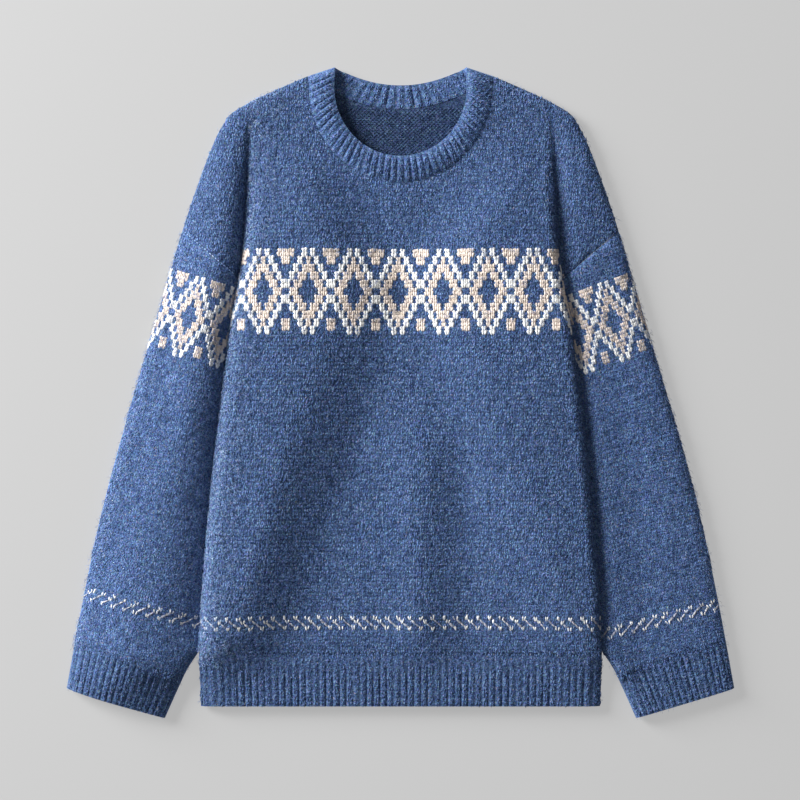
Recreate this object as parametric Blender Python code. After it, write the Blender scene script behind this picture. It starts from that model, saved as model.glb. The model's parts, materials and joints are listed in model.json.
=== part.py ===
"""A crewneck sweater laid flat on its back: two panels, two drop-shoulder sleeves and their ribbed edges.

Metres, +Z up. X runs across the chest, Y from hem to neck, and the back lies on Z = 0.
Plan positions are worked out as (x, up): x from the centre line, up from the hem line.
The cloth is a wall of brushed knit, each piece its own closed solid, 0.3 mm from its neighbours.
"""

import math

import bmesh
import bpy
import numpy as np

# ---------------------------------------------------------------- driving sizes
CLOTH = 0.0035  # thickness of the brushed knit
SEAM = 0.0003  # gap between two pieces at a seam
LAID = 0.0087  # height of two layers that lie on each other
MIDDLE = LAID / 2  # the seam line round the outside lies at half that height
ROLL = 0.012  # width of the rounded outside edges
LIP = 0.014  # width of the front's rounded side folds
HEM_RIB = 0.051  # height of the ribbed hem
RIB_PITCH = 0.0067  # one rib and one furrow
RIB_RAISE = 0.0008  # a ridge stands this far above the wall
RIB_DIP = 0.0006  # a furrow lies this far below it

ARMPIT_UP = 0.428  # where the side fold meets the armhole seam
UNDERARM_X = 0.070  # the hidden inner end of the armhole
SHOULDER_SEAM = (0.2185, 0.476)  # where the armhole seam reaches the outer edge
CREASE_TOP_UP = 0.585  # where the fold beside the chest dies out
NECK_POINT = (0.066, 0.640)  # top inner corner of the neckband
NECK_SEAM_POINT = (0.093, 0.631)  # neckband, shoulder seam and silhouette meet
CUFF_RIB_OUTER_UP, CUFF_OUTER_UP = 0.0641, 0.018
CUFF_RIB_INNER_UP, CUFF_INNER_UP = 0.0310, -0.012

SIDE_RISE = 0.0106  # the front lies this much higher where a sleeve is under it
DRAPE = 0.080  # width of the slope down from there to the middle
HEM_FALL = 0.075  # the rise fades out over this height above the hem
RIDGE_HEIGHT, RIDGE_X, RIDGE_WIDTH = 0.0022, 0.010, 0.026  # soft fold down the middle
SLEEVE_LIFT = CLOTH + SEAM  # a sleeve lies this much higher on the back panel
SLEEVE_TOP = SLEEVE_LIFT + LAID
LIFT_START = 0.002  # from this far outside the panel's edge it comes down
LIFT_SLOPE = 0.013  # to the surface, over this width
FOOT = 0.006  # width of the hollow beside the chest fold

FRONT_NECK = {"half_width": 0.092, "depth": 0.095, "centre_up": 0.619}
FREE_NECK = {"half_width": 0.066, "depth": 0.0685, "centre_up": 0.619}
BACK_NECK_UP = 0.598  # lowest point of the back neck seam
BACK_FREE_UP = 0.622  # lowest point of the neckband's edge at the back

ORIGIN_UP = (NECK_POINT[1] + CUFF_INNER_UP) / 2

# Half width of the body from hem to shoulder, at its side folds.
BODY_EDGE = (  # up, half_width
    (0.000, 0.2000),
    (0.055, 0.2010),
    (0.107, 0.1985),
    (0.207, 0.1905),
    (0.337, 0.1760),
    (0.397, 0.1680),
    (0.428, 0.1620),
    (0.457, 0.1575),
    (0.500, 0.1545),
    (0.557, 0.1520),
    (0.610, 0.1480),
)
# Outer edge of shoulder and sleeve, from the cuff up.
SLEEVE_OUTER = (  # up, x
    (0.018, 0.3345),
    (0.057, 0.3275),
    (0.097, 0.3200),
    (0.137, 0.3120),
    (0.177, 0.3035),
    (0.257, 0.2830),
    (0.337, 0.2595),
    (0.417, 0.2355),
    (0.476, 0.2185),
    (0.517, 0.2050),
    (0.557, 0.1900),
    (0.577, 0.1815),
    (0.589, 0.1745),
)
# Inner edge of the sleeve, hidden under the front above 0.055.
SLEEVE_INNER = (  # up, x
    (-0.012, 0.2360),
    (0.017, 0.2230),
    (0.037, 0.2135),
    (0.060, 0.1985),
    (0.085, 0.1850),
    (0.130, 0.1680),
    (0.230, 0.1350),
    (0.330, 0.1020),
    (0.428, 0.0700),
)
# The sloping shoulder line, from the neckband out.
SHOULDER = (  # x, up
    (0.066, 0.640),
    (0.093, 0.631),
    (0.121, 0.619),
    (0.147, 0.607),
    (0.158, 0.601),
    (0.168, 0.595),
    (0.1745, 0.589),
)
# Height of each panel's edge along the side fold: closed at the hem, open round the sleeve.
SIDE_RIM = (  # up, front_z, back_z
    (0.000, MIDDLE + 0.00015, MIDDLE - 0.00015),
    (0.028, MIDDLE + 0.00040, MIDDLE - 0.00030),
    (0.052, SLEEVE_TOP - 0.0003, 0.0),
    (0.062, SLEEVE_TOP + 0.0005, 0.0),
    (ARMPIT_UP, SLEEVE_TOP + 0.0005, 0.0),
)

# ---------------------------------------------------------------- how fine the solids are
PLATEAU_COLUMNS = 11  # from the centre line to the side fold
NECK_ANGLES = (0, 14, 28, 42, 57, 73, 90)  # degrees round half of the front neck
NECK_STEPS = 3  # and from there up to the shoulder
LIP_TURNS = (25, 50, 70, 90)  # degrees round a side fold
ROLL_TURNS = (30, 60, 90)  # degrees round an outside edge
CAP_COLUMNS = 2  # between the chest fold and the rolled edge
BODY_ROWS, YOKE_ROWS = 12, 6
SLEEVE_STATIONS = 17
NECK_RIBS_FRONT, NECK_RIBS_BACK = 21, 14  # on each half
BAND_START = 0.15  # the neckband's ribs start at this share of its width from the seam
CUFF_RIBS = 17

COLOURS = {  # colour, roughness
    "knit": ((0.062, 0.118, 0.262, 1.0), 0.95),
    "rib": ((0.055, 0.105, 0.235, 1.0), 0.95),
}


# ---------------------------------------------------------------- small mathematics
def curve(table, at, column=1):
    """A smooth curve through a table's rows, read at its first column."""
    rows = np.array(table, float)
    xs, ys = rows[:, 0], rows[:, column]
    slopes = np.gradient(ys, xs)
    at = min(max(at, xs[0]), xs[-1])
    i = min(int(np.searchsorted(xs, at, "right")) - 1, len(xs) - 2)
    span = xs[i + 1] - xs[i]
    t = (at - xs[i]) / span
    ends = (2 * t**3 - 3 * t**2 + 1) * ys[i] + (3 * t**2 - 2 * t**3) * ys[i + 1]
    bends = (t**3 - 2 * t**2 + t) * slopes[i] + (t**3 - t**2) * slopes[i + 1]
    return float(ends + bends * span)


def straight(table, at, column=1):
    """The same with straight lines between the rows."""
    rows = np.array(table, float)
    return float(np.interp(at, rows[:, 0], rows[:, column]))


def ease(t):
    """0 below 0, 1 above 1, and smooth between."""
    t = min(max(t, 0.0), 1.0)
    return t * t * (3 - 2 * t)


def mix(a, b, t):
    return a + (b - a) * t


# ---------------------------------------------------------------- the outline
def body_edge(up):
    return curve(BODY_EDGE, up)


def sleeve_outer(up):
    return curve(SLEEVE_OUTER, up)


def sleeve_inner(up):
    return curve(SLEEVE_INNER, up)


def shoulder_up(x):
    return straight(SHOULDER, x)


def silhouette():
    """The outside edge that front and back share, from the neckband to below the armhole seam."""
    ups = np.linspace(SLEEVE_OUTER[-1][0], SHOULDER_SEAM[1] - 0.03, 14)[1:]
    return [*SHOULDER, *((sleeve_outer(up), up) for up in ups)]


SILHOUETTE = np.array(silhouette())


def from_silhouette(point):
    """How far a plan point lies inside the outside edge, and the direction straight in from it."""
    starts, ends = SILHOUETTE[:-1], SILHOUETTE[1:]
    runs = ends - starts
    shares = ((point - starts) * runs).sum(1) / (runs**2).sum(1)
    nearest = starts + np.clip(shares, 0, 1)[:, None] * runs
    gaps = point - nearest
    lengths = np.linalg.norm(gaps, axis=1)
    i = int(lengths.argmin())
    if lengths[i] > 1e-6:
        return float(lengths[i]), gaps[i] / lengths[i]
    touching = [runs[j] for j in range(len(runs)) if lengths[j] < 1e-6]
    inward = sum(np.array([r[1], -r[0]]) / np.linalg.norm(r) for r in touching)
    return 0.0, inward / np.linalg.norm(inward)


# ---------------------------------------------------------------- heights of the laid cloth
def front_height(x, up):
    """Upper surface of the front: higher over the sleeves, with a soft fold down the middle."""
    if up <= ARMPIT_UP:
        reach, fade = sleeve_inner(up), ease(up / HEM_FALL)
    else:
        share = (up - ARMPIT_UP) / (CREASE_TOP_UP - ARMPIT_UP)
        reach, fade = mix(UNDERARM_X, body_edge(up), min(share, 1.0)), 1 - ease(share)
    side = ease((abs(x) - (reach - DRAPE)) / DRAPE) * fade
    ridge = math.exp(-(((x - RIDGE_X) / RIDGE_WIDTH) ** 2))
    along = ease(up / 0.080) * (1 - ease((up - 0.180) / 0.160))
    return LAID + SIDE_RISE * side + RIDGE_HEIGHT * ridge * along


def sleeve_lift(x, up):
    """How far the back panel holds a sleeve off the surface."""
    return SLEEVE_LIFT * ease((body_edge(up) + LIFT_START + LIFT_SLOPE - x) / LIFT_SLOPE)


def cap_height(x, up):
    """Upper surface of the front outside the chest fold, level with the sleeve at the armhole."""
    share = (up - ARMPIT_UP) / (CREASE_TOP_UP - ARMPIT_UP)
    return LAID + sleeve_lift(x, up) * (1 - ease(share))


def chest_fold_foot(up):
    """Height at which the chest fold ends above the armpit."""
    share = (up - ARMPIT_UP) / (CREASE_TOP_UP - ARMPIT_UP)
    x = body_edge(up)
    return cap_height(x, up) + (SIDE_RIM[-1][1] - LAID - SLEEVE_LIFT) * (1 - ease(share))


# ---------------------------------------------------------------- walls
def rolled(width, drop, degrees):
    """Outer and inner point of a cloth edge that turns down, from the middle of the turn."""
    s, c = math.sin(math.radians(degrees)), math.cos(math.radians(degrees))
    outer = np.array([width * s, drop * c])
    plain = outer - np.array([0, CLOTH])
    tight = np.array([(width - CLOTH) * s, (drop - CLOTH) * c])
    return outer, mix(plain, tight, min(1.0, drop / CLOTH))


def make_wall(name, outer, inner, cells, finish):
    """One closed wall from the points of its two faces and the cells between them.

    outer and inner hold a point for each key, and a cell is a ring of keys.
    """
    bm = bmesh.new()
    faces_of_wall = []
    keys = sorted({key for cell in cells for key in cell})
    verts = [{key: bm.verts.new(points[key]) for key in keys} for points in (outer, inner)]
    sides = {}
    for cell in cells:
        faces_of_wall.append([verts[0][key] for key in cell])
        faces_of_wall.append([verts[1][key] for key in reversed(cell)])
        for a, b in zip(cell, cell[1:] + cell[:1]):
            sides[(a, b)] = True
    for a, b in sides:
        if (b, a) not in sides:
            faces_of_wall.append([verts[0][b], verts[0][a], verts[1][a], verts[1][b]])
    for ring in faces_of_wall:
        bm.faces.new(ring)
    bmesh.ops.triangulate(bm, faces=bm.faces[:])
    bmesh.ops.recalc_face_normals(bm, faces=bm.faces[:])
    if bm.calc_volume(signed=True) < 0:
        bmesh.ops.reverse_faces(bm, faces=bm.faces[:])
    mesh = bpy.data.meshes.new(name)
    bm.to_mesh(mesh)
    bm.free()
    mesh.shade_smooth()
    mesh.set_sharp_from_angle(angle=math.radians(50))
    mesh.materials.append(FINISHES[finish])
    obj = bpy.data.objects.new(name, mesh)
    bpy.context.scene.collection.objects.link(obj)
    return obj


def placed(x, up, z):
    """A point in the part's own frame."""
    return (x, up - ORIGIN_UP, z)


def grid_cells(rows, columns, closed=False):
    """The cells between neighbouring rows and columns, for those whose four corners exist."""
    cells = []
    for i in range(len(rows) - 1):
        last = len(columns) - (0 if closed else 1)
        for j in range(last):
            a, b = columns[j], columns[(j + 1) % len(columns)]
            cells.append([(rows[i], a), (rows[i], b), (rows[i + 1], b), (rows[i + 1], a)])
    return cells


# ---------------------------------------------------------------- front and back panels
def side_section(up, column, panel, above_armpit):
    """Outer and inner (x, z) of a panel's column on one row, on the +X side.

    Columns 0 to PLATEAU_COLUMNS cross the body, and the next ones go round the side fold.
    """
    start = body_edge(up) - LIP
    turn = column - PLATEAU_COLUMNS
    x = start * min(column / PLATEAU_COLUMNS, 1.0)
    if panel == "back":
        rim = 0.0 if above_armpit else straight(SIDE_RIM, up, 2)
        if turn <= 0:
            return np.array([x, 0.0]), np.array([x, CLOTH])
        outer, inner = rolled(LIP, rim, LIP_TURNS[turn - 1])
        flip = np.array([1, -1])
        return np.array([start, rim]) + outer * flip, np.array([start, rim]) + inner * flip
    rim = chest_fold_foot(up) if above_armpit else straight(SIDE_RIM, up, 1)
    if turn <= 0:
        z = front_height(x, up)
        return np.array([x, z]), np.array([x, z - CLOTH])
    outer, inner = rolled(LIP, front_height(start, up) - rim, LIP_TURNS[turn - 1])
    return np.array([start, rim]) + outer, np.array([start, rim]) + inner


FOLD_COLUMN = PLATEAU_COLUMNS + len(LIP_TURNS)  # the side fold's last column
FOOT_COLUMNS = (0.0025, FOOT)  # distances out from the fold
CAP_START = FOLD_COLUMN + len(FOOT_COLUMNS)
EDGE_START = CAP_START + CAP_COLUMNS
LAST_COLUMN = EDGE_START + len(ROLL_TURNS)


def seam_up(x):
    """The visible armhole seam, a straight line from the armpit to the outer edge."""
    armpit_x = body_edge(ARMPIT_UP)
    share = (x - armpit_x) / (SHOULDER_SEAM[0] - armpit_x)
    return mix(ARMPIT_UP, SHOULDER_SEAM[1], min(max(share, 0.0), 1.0))


def column_x(column, up):
    """Where a column of the yoke runs at this height, before the neck draws it in."""
    edge, outside = body_edge(up), sleeve_outer(up)
    if column <= PLATEAU_COLUMNS:
        return (edge - LIP) * column / PLATEAU_COLUMNS
    if column <= FOLD_COLUMN:
        turn = math.radians(LIP_TURNS[column - PLATEAU_COLUMNS - 1])
        return edge - LIP + LIP * math.sin(turn)
    if column <= CAP_START:
        return edge + FOOT_COLUMNS[column - FOLD_COLUMN - 1]
    roll_start = max(outside - ROLL, edge + FOOT + 0.004)
    if column <= EDGE_START:
        return mix(edge + FOOT, roll_start, (column - CAP_START) / CAP_COLUMNS)
    turn = math.radians(ROLL_TURNS[column - EDGE_START - 1])
    return mix(roll_start, outside, math.sin(turn))


def neck_path(panel):
    """The neck seam of a panel, from its middle to the shoulder."""
    if panel == "back":
        shares = np.linspace(0, 1, len(NECK_ANGLES) + NECK_STEPS)
        rise = NECK_SEAM_POINT[1] - BACK_NECK_UP
        return [(NECK_SEAM_POINT[0] * s, BACK_NECK_UP + rise * s**2) for s in shares]
    return scoop(FRONT_NECK, NECK_SEAM_POINT)


def scoop(neck, end):
    """Half an ellipse's lower part, and then straight on to the shoulder."""
    turns = [math.radians(a) for a in NECK_ANGLES]
    x, up = neck["half_width"], neck["centre_up"]
    path = [(x * math.sin(t), up - neck["depth"] * math.cos(t)) for t in turns]
    steps = [i / NECK_STEPS for i in range(1, NECK_STEPS + 1)]
    return [*path, *((mix(x, end[0], s), mix(up, end[1], s)) for s in steps)]


def top_point(column, panel):
    """Where a column of the yoke ends, on the neck seam or on the shoulder."""
    path = neck_path(panel)
    if column < len(path):
        return path[column]
    if column <= PLATEAU_COLUMNS:
        share = (column - len(path) + 1) / (PLATEAU_COLUMNS - len(path) + 1)
        x = mix(NECK_SEAM_POINT[0], body_edge(0.61) - LIP, share)
        return x, shoulder_up(x)
    up = SHOULDER_SEAM[1]
    for _ in range(8):
        up = shoulder_up(column_x(column, up))
    return column_x(column, up), up


def yoke_point(column, row, panel):
    """Plan position of a yoke point: rows rise evenly, then close up along the shoulder."""
    bottom = ARMPIT_UP
    if column > FOLD_COLUMN:
        for _ in range(8):
            bottom = seam_up(column_x(column, bottom))
    top_x, top_up = top_point(column, panel)
    steep = 1 / math.cos(math.atan2(0.109, 0.260))
    closing = ROLL * steep * 0.999
    if row <= YOKE_ROWS:
        up = mix(bottom, top_up - closing, row / YOKE_ROWS)
    else:
        turn = math.radians(ROLL_TURNS[row - YOKE_ROWS - 1])
        up = top_up - closing * (1 - math.sin(turn))
    share = (up - bottom) / (top_up - bottom)
    return mix(column_x(column, up), top_x, ease(share) if column <= FOLD_COLUMN else share**6), up


def yoke_section(column, row, panel):
    """Outer and inner point of the yoke, on the +X side, as (x, up, z)."""
    x, up = yoke_point(column, row, panel)
    if panel == "back":
        outer, inner = np.array([x, up, 0.0]), np.array([x, up, CLOTH])
    elif column <= FOLD_COLUMN:
        flat_outer, flat_inner = side_section(up, column, panel, True)
        shift = x - flat_outer[0]
        if column <= PLATEAU_COLUMNS:
            z = front_height(x, up)
            outer, inner = np.array([x, up, z]), np.array([x, up, z - CLOTH])
        else:
            outer = np.array([x, up, flat_outer[1]])
            inner = np.array([flat_inner[0] + shift, up, flat_inner[1]])
    else:
        z = cap_height(x, up)
        if column == FOLD_COLUMN + 1:
            z += 0.3 * (chest_fold_foot(up) - z)
        outer, inner = np.array([x, up, z]), np.array([x, up, z - CLOTH])
    depth, inward = from_silhouette(np.array([x, up]))
    if depth < ROLL:
        s = 1 - depth / ROLL
        c = math.sqrt(max(1 - s * s, 0.0))
        away = SEAM / 2 if panel == "front" else -SEAM / 2
        rim = MIDDLE + away
        outer[2] = rim + (outer[2] - rim) * c
        inner[:2] += inward * CLOTH * s
        inner[2] = rim + (inner[2] - rim) * c
    return outer, inner


def add_panel(panel):
    """The front or the back: the body from the hem rib to the armpit, and the yoke above it."""
    outer, inner, cells = {}, {}, []
    columns = list(range(-FOLD_COLUMN, FOLD_COLUMN + 1))
    wide = list(range(-LAST_COLUMN, LAST_COLUMN + 1))
    ups = np.linspace(HEM_RIB + SEAM, ARMPIT_UP, BODY_ROWS + 1)
    for i, up in enumerate(ups):
        for column in columns:
            sign = -1 if column < 0 else 1
            out, into = side_section(up, abs(column), panel, False)
            if panel == "front" and abs(column) <= PLATEAU_COLUMNS:
                out[1] = front_height(sign * out[0], up)
                into[1] = out[1] - CLOTH
            outer[(i, column)] = placed(sign * out[0], up, out[1])
            inner[(i, column)] = placed(sign * into[0], up, into[1])
    rows = len(ROLL_TURNS) + YOKE_ROWS
    for row in range(rows + 1):
        for column in wide:
            key = (BODY_ROWS + row, column)
            if row == 0 and abs(column) <= FOLD_COLUMN:
                continue
            sign = -1 if column < 0 else 1
            out, into = yoke_section(abs(column), row, panel)
            outer[key] = placed(sign * out[0], out[1], out[2])
            inner[key] = placed(sign * into[0], into[1], into[2])
    cells += grid_cells(list(range(BODY_ROWS + 1)), columns)
    cells += grid_cells(list(range(BODY_ROWS, BODY_ROWS + rows + 1)), wide)
    return make_wall(panel, outer, inner, cells, "knit")


# ---------------------------------------------------------------- ribbed hem
def hem_shape(up, share, panel):
    """Outer and inner (x, z) at a share of the way from the centre line round to the side seam."""
    start = body_edge(up) - LIP
    rim = straight(SIDE_RIM, up, 1 if panel == "front" else 2)
    flat_z = front_height(start, up) if panel == "front" else 0.0
    bend = LIP * 1.15
    place = share * (start + bend)
    sign = 1 if panel == "front" else -1
    if place <= start:
        z = front_height(place, up) if panel == "front" else 0.0
        return np.array([place, z]), np.array([place, z - sign * CLOTH]), np.array([0, 1.0])
    degrees = 90 * (place - start) / bend
    outer, inner = rolled(LIP, abs(flat_z - rim), degrees)
    flip = np.array([1, sign])
    turn = math.radians(degrees)
    middle = np.array([start, rim])
    return middle + outer * flip, middle + inner * flip, np.array([math.sin(turn), math.cos(turn)])


def add_hem(name, panel):
    """A ribbed band along the hem. The ribs stand on the side that faces up."""
    outer, inner = {}, {}
    half = round((body_edge(0) + 0.003) / RIB_PITCH) * 2 if panel == "front" else 10
    ups = np.linspace(0, HEM_RIB, 3)
    for i, up in enumerate(ups):
        for column in range(-half, half + 1):
            sign = -1 if column < 0 else 1
            out, into, normal = hem_shape(up, abs(column) / half, panel)
            if panel == "front":
                if column % 2:
                    out = out + normal * RIB_RAISE
                elif abs(column) < half:
                    out = out - normal * RIB_DIP
            outer[(i, column)] = placed(sign * out[0], up, out[1])
            inner[(i, column)] = placed(sign * into[0], up, into[1])
    columns = list(range(-half, half + 1))
    return make_wall(name, outer, inner, grid_cells([0, 1, 2], columns), "rib")


# ---------------------------------------------------------------- sleeves and cuffs
def lens(depth, inset):
    """Share of the half height at this distance from a tube's edge, for a face this far inside."""
    width = ROLL - inset
    s = 1 - min(max((depth - inset) / width, 0.0), 1.0)
    return math.sqrt(max(1 - s * s, 0.0))


def sleeve_line(along, share):
    """Plan point on the tube: along from the armhole to the rib, share from the outer edge in."""
    outer_up = mix(SHOULDER_SEAM[1] - SEAM, CUFF_RIB_OUTER_UP, along)
    inner_up = mix(ARMPIT_UP - SEAM, CUFF_RIB_INNER_UP, along)
    start = np.array([sleeve_outer(outer_up), outer_up])
    end = np.array([sleeve_inner(inner_up), inner_up])
    point = mix(start, end, share)
    bend_at = (start[0] - body_edge(ARMPIT_UP)) / (start[0] - end[0])
    peak = share / bend_at if share < bend_at else (1 - share) / (1 - bend_at)
    straight_up = mix(SHOULDER_SEAM[1], ARMPIT_UP, bend_at)
    dip = (straight_up - ARMPIT_UP) * max(1 - along * 4, 0.0) ** 1.5
    return point - np.array([0, dip * max(peak, 0.0)]), float(np.linalg.norm(end - start))


def sleeve_columns(along):
    """Distances in from the outer edge at which the tube has a point, closer at its folds."""
    width = sleeve_line(along, 0)[1]
    fold = width - 0.026
    for _ in range(8):
        x, up = sleeve_line(along, fold / width)[0]
        fold = min(fold + (x - body_edge(up)), width - 0.026)
    fold = max(fold, 0.034)
    edges = [ROLL * (1 - math.sin(math.radians(a))) for a in (90, 55, 25, 0)]
    foot, edge = fold - LIFT_START - LIFT_SLOPE, fold - 0.75 * LIFT_START * min(along * 8, 1)
    crease = [mix(ROLL, foot, 0.5), foot, edge]
    rest = [mix(fold, width - ROLL, 0.5)]
    return [*edges, *crease, *rest, *(width - e for e in reversed(edges))], width


def tube_point(sign, point, depth, width, side, lift):
    """Outer and inner point of a flattened tube. side is 1 on the upper layer and -1 below."""
    edge = min(depth, width - depth)
    toward = 1 if depth < width / 2 else -1
    out = np.array([point[0], point[1], lift + MIDDLE + side * MIDDLE * lens(edge, 0)])
    shift = CLOTH * max(1 - edge / ROLL, 0.0) * toward
    z = lift + MIDDLE + side * (MIDDLE - CLOTH) * lens(edge * (ROLL - CLOTH) / ROLL + CLOTH, CLOTH)
    into = np.array([point[0] - shift * 0.957, point[1] - shift * 0.29, z])
    return placed(sign * out[0], out[1], out[2]), placed(sign * into[0], into[1], into[2])


def add_sleeve(name, sign):
    """A flattened tube from the armhole to the ribbed cuff, the upper part under the front."""
    outer, inner = {}, {}
    stations = [i / SLEEVE_STATIONS for i in range(SLEEVE_STATIONS + 1)]
    for i, along in enumerate(stations):
        depths, width = sleeve_columns(along)
        count = len(depths)
        for side in (1, -1):
            for j, depth in enumerate(depths):
                if side < 0 and j in (0, count - 1):
                    continue
                point, _ = sleeve_line(along, depth / width)
                ring = j if side > 0 else 2 * (count - 1) - j
                lift = sleeve_lift(*point)
                outer[(i, ring)], inner[(i, ring)] = tube_point(
                    sign, point, depth, width, side, lift
                )
    rings = list(range(2 * (count - 1)))
    cells = grid_cells(list(range(SLEEVE_STATIONS + 1)), rings, closed=True)
    return make_wall(name, outer, inner, cells, "knit")


def add_cuff(name, sign):
    """The ribbed end of a sleeve, with its ribs on the upper layer."""
    outer, inner = {}, {}
    top, below = 2 * CUFF_RIBS, 8
    for i in range(3):
        along = i / 2
        outer_up = mix(CUFF_RIB_OUTER_UP - SEAM, CUFF_OUTER_UP, along)
        inner_up = mix(CUFF_RIB_INNER_UP - SEAM, CUFF_INNER_UP, along)
        start = np.array([sleeve_outer(outer_up), outer_up])
        end = np.array([sleeve_inner(inner_up), inner_up])
        width = float(np.linalg.norm(end - start))
        for ring in range(top + below):
            side = 1 if ring <= top else -1
            share = ring / top if ring <= top else 1 - (ring - top) / below
            share = (1 - math.cos(math.pi * share)) / 2 if side < 0 else share
            point = mix(start, end, share)
            out, into = tube_point(sign, point, share * width, width, side, 0.0)
            if side > 0 and 0 < ring < top:
                raised = RIB_RAISE if ring % 2 else -RIB_DIP
                out = (out[0], out[1], out[2] + raised)
            outer[(i, ring)], inner[(i, ring)] = out, into
    cells = grid_cells([0, 1, 2], list(range(top + below)), closed=True)
    return make_wall(name, outer, inner, cells, "rib")


# ---------------------------------------------------------------- neckband
def band_point(seam, free, across, back, raised):
    """Outer and inner point of the band, which lies level and rolls over at the shoulder."""
    toward = (free - seam) / np.linalg.norm(free - seam)
    plan = mix(seam + toward * SEAM, free, across)
    depth, inward = from_silhouette(plan)
    s = max(1 - depth / ROLL, 0.0)
    c = math.sqrt(max(1 - s * s, 0.0))
    side = -1 if back else 1
    out_z = MIDDLE + side * (MIDDLE + (0 if back else raised)) * c
    in_z = MIDDLE + side * (MIDDLE - CLOTH - (raised if back else 0)) * c
    into = plan + inward * CLOTH * s
    return (plan[0], plan[1], out_z), (into[0], into[1], in_z)


def band_spokes(back, raised):
    """The band's points at every point of a panel's neck seam, from the middle to the fold."""
    seams = neck_path("back" if back else "front")
    rise = NECK_POINT[1] - BACK_FREE_UP
    shares = np.linspace(0, 1, len(seams))
    back_edge = [(NECK_POINT[0] * s, BACK_FREE_UP + rise * s**2) for s in shares]
    frees = back_edge if back else scoop(FREE_NECK, NECK_POINT)
    spokes = []
    for seam, free in zip(np.array(seams), np.array(frees)):
        rows = [(0, 0.0), (BAND_START, raised), (1, raised)]
        spokes.append([band_point(seam, free, across, back, lift) for across, lift in rows])
    lengths = np.linalg.norm(np.diff(np.array(seams), axis=0), axis=1)
    return np.array(spokes), np.concatenate([[0], np.cumsum(lengths)])


def add_neckband():
    """A ribbed ring round the neck, its front on top and its back on the surface."""
    outer, inner = {}, {}
    ring = [(False, 1, k) for k in range(2 * NECK_RIBS_FRONT + 1)]
    ring += [(True, 1, k) for k in range(2 * NECK_RIBS_BACK - 1, -1, -1)]
    ring += [(True, -1, k) for k in range(1, 2 * NECK_RIBS_BACK)]
    ring += [(False, -1, k) for k in range(2 * NECK_RIBS_FRONT, 0, -1)]
    for j, (back, sign, k) in enumerate(ring):
        spokes, lengths = band_spokes(back, RIB_RAISE if k % 2 else -RIB_DIP)
        share = k / (2 * (NECK_RIBS_BACK if back else NECK_RIBS_FRONT))
        place = float(np.interp(share * lengths[-1], lengths, range(len(lengths))))
        near = min(int(place), len(spokes) - 2)
        rows = mix(spokes[near], spokes[near + 1], place - near)
        for i, (out, into) in enumerate(rows):
            outer[(i, j)] = placed(sign * out[0], out[1], out[2])
            inner[(i, j)] = placed(sign * into[0], into[1], into[2])
    cells = grid_cells([0, 1, 2], list(range(len(ring))), closed=True)
    return make_wall("neckband", outer, inner, cells, "rib")


# ---------------------------------------------------------------- the sweater
def make_finish(name, colour, roughness):
    finish = bpy.data.materials.new(name)
    finish.use_nodes = True
    shader = finish.node_tree.nodes["Principled BSDF"]
    shader.inputs["Base Color"].default_value = colour
    shader.inputs["Roughness"].default_value = roughness
    shader.inputs["Metallic"].default_value = 0.0
    finish.diffuse_color = colour
    return finish


for old in list(bpy.data.objects):
    bpy.data.objects.remove(old)
FINISHES = {name: make_finish(name, *values) for name, values in COLOURS.items()}
sweater = bpy.data.objects.new("sweater", None)
bpy.context.scene.collection.objects.link(sweater)
pieces = [
    add_panel("front"),
    add_panel("back"),
    add_hem("hem_front", "front"),
    add_hem("hem_back", "back"),
    add_neckband(),
]
for side_name, side_sign in (("left", -1), ("right", 1)):
    pieces.append(add_sleeve(f"sleeve_{side_name}", side_sign))
    pieces.append(add_cuff(f"cuff_{side_name}", side_sign))
for piece in pieces:
    piece.parent = sweater
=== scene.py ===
# %% [markdown]
# # A brushed crewneck sweater, laid flat
# The sweater lies on its back and is seen from straight above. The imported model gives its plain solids.
# Here each solid gets a finer cloth over the same form, and on that cloth lie real knitted stitches,
# ribs, a diamond colourwork band, a speckled stripe and the soft fibres of the brushed yarn.

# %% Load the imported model
import functools
import json
import math

import bpy
import numpy as np
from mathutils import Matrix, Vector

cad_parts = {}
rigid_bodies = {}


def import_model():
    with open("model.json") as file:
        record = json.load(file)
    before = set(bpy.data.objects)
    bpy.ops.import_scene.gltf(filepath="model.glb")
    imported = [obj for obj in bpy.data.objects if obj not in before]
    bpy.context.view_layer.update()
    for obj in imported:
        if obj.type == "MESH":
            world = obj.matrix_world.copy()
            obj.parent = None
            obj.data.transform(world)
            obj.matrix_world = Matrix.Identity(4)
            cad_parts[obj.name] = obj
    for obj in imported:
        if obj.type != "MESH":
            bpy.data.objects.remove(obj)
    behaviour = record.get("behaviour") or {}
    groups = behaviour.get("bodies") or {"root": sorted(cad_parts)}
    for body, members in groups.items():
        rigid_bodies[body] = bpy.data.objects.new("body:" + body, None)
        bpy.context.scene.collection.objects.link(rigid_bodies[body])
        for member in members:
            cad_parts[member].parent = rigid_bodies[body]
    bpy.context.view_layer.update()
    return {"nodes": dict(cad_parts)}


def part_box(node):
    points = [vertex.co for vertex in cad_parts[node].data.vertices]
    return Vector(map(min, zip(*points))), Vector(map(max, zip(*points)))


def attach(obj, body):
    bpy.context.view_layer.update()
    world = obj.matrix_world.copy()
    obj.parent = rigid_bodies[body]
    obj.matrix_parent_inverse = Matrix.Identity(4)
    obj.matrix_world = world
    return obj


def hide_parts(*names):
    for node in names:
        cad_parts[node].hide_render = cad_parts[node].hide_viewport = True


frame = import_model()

print("nodes:", ", ".join(sorted(frame["nodes"])))

# %% [markdown]
# ## Sizes
# Everything is worked out in plan as (x, up): x from the centre line, up from the hem line. The knit
# has a gauge, the width of one stitch (a wale) and the height of one row of stitches (a course).
# Counting in stitches keeps the pattern, the stripe and the texture in step, as on a real needle bed.

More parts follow.
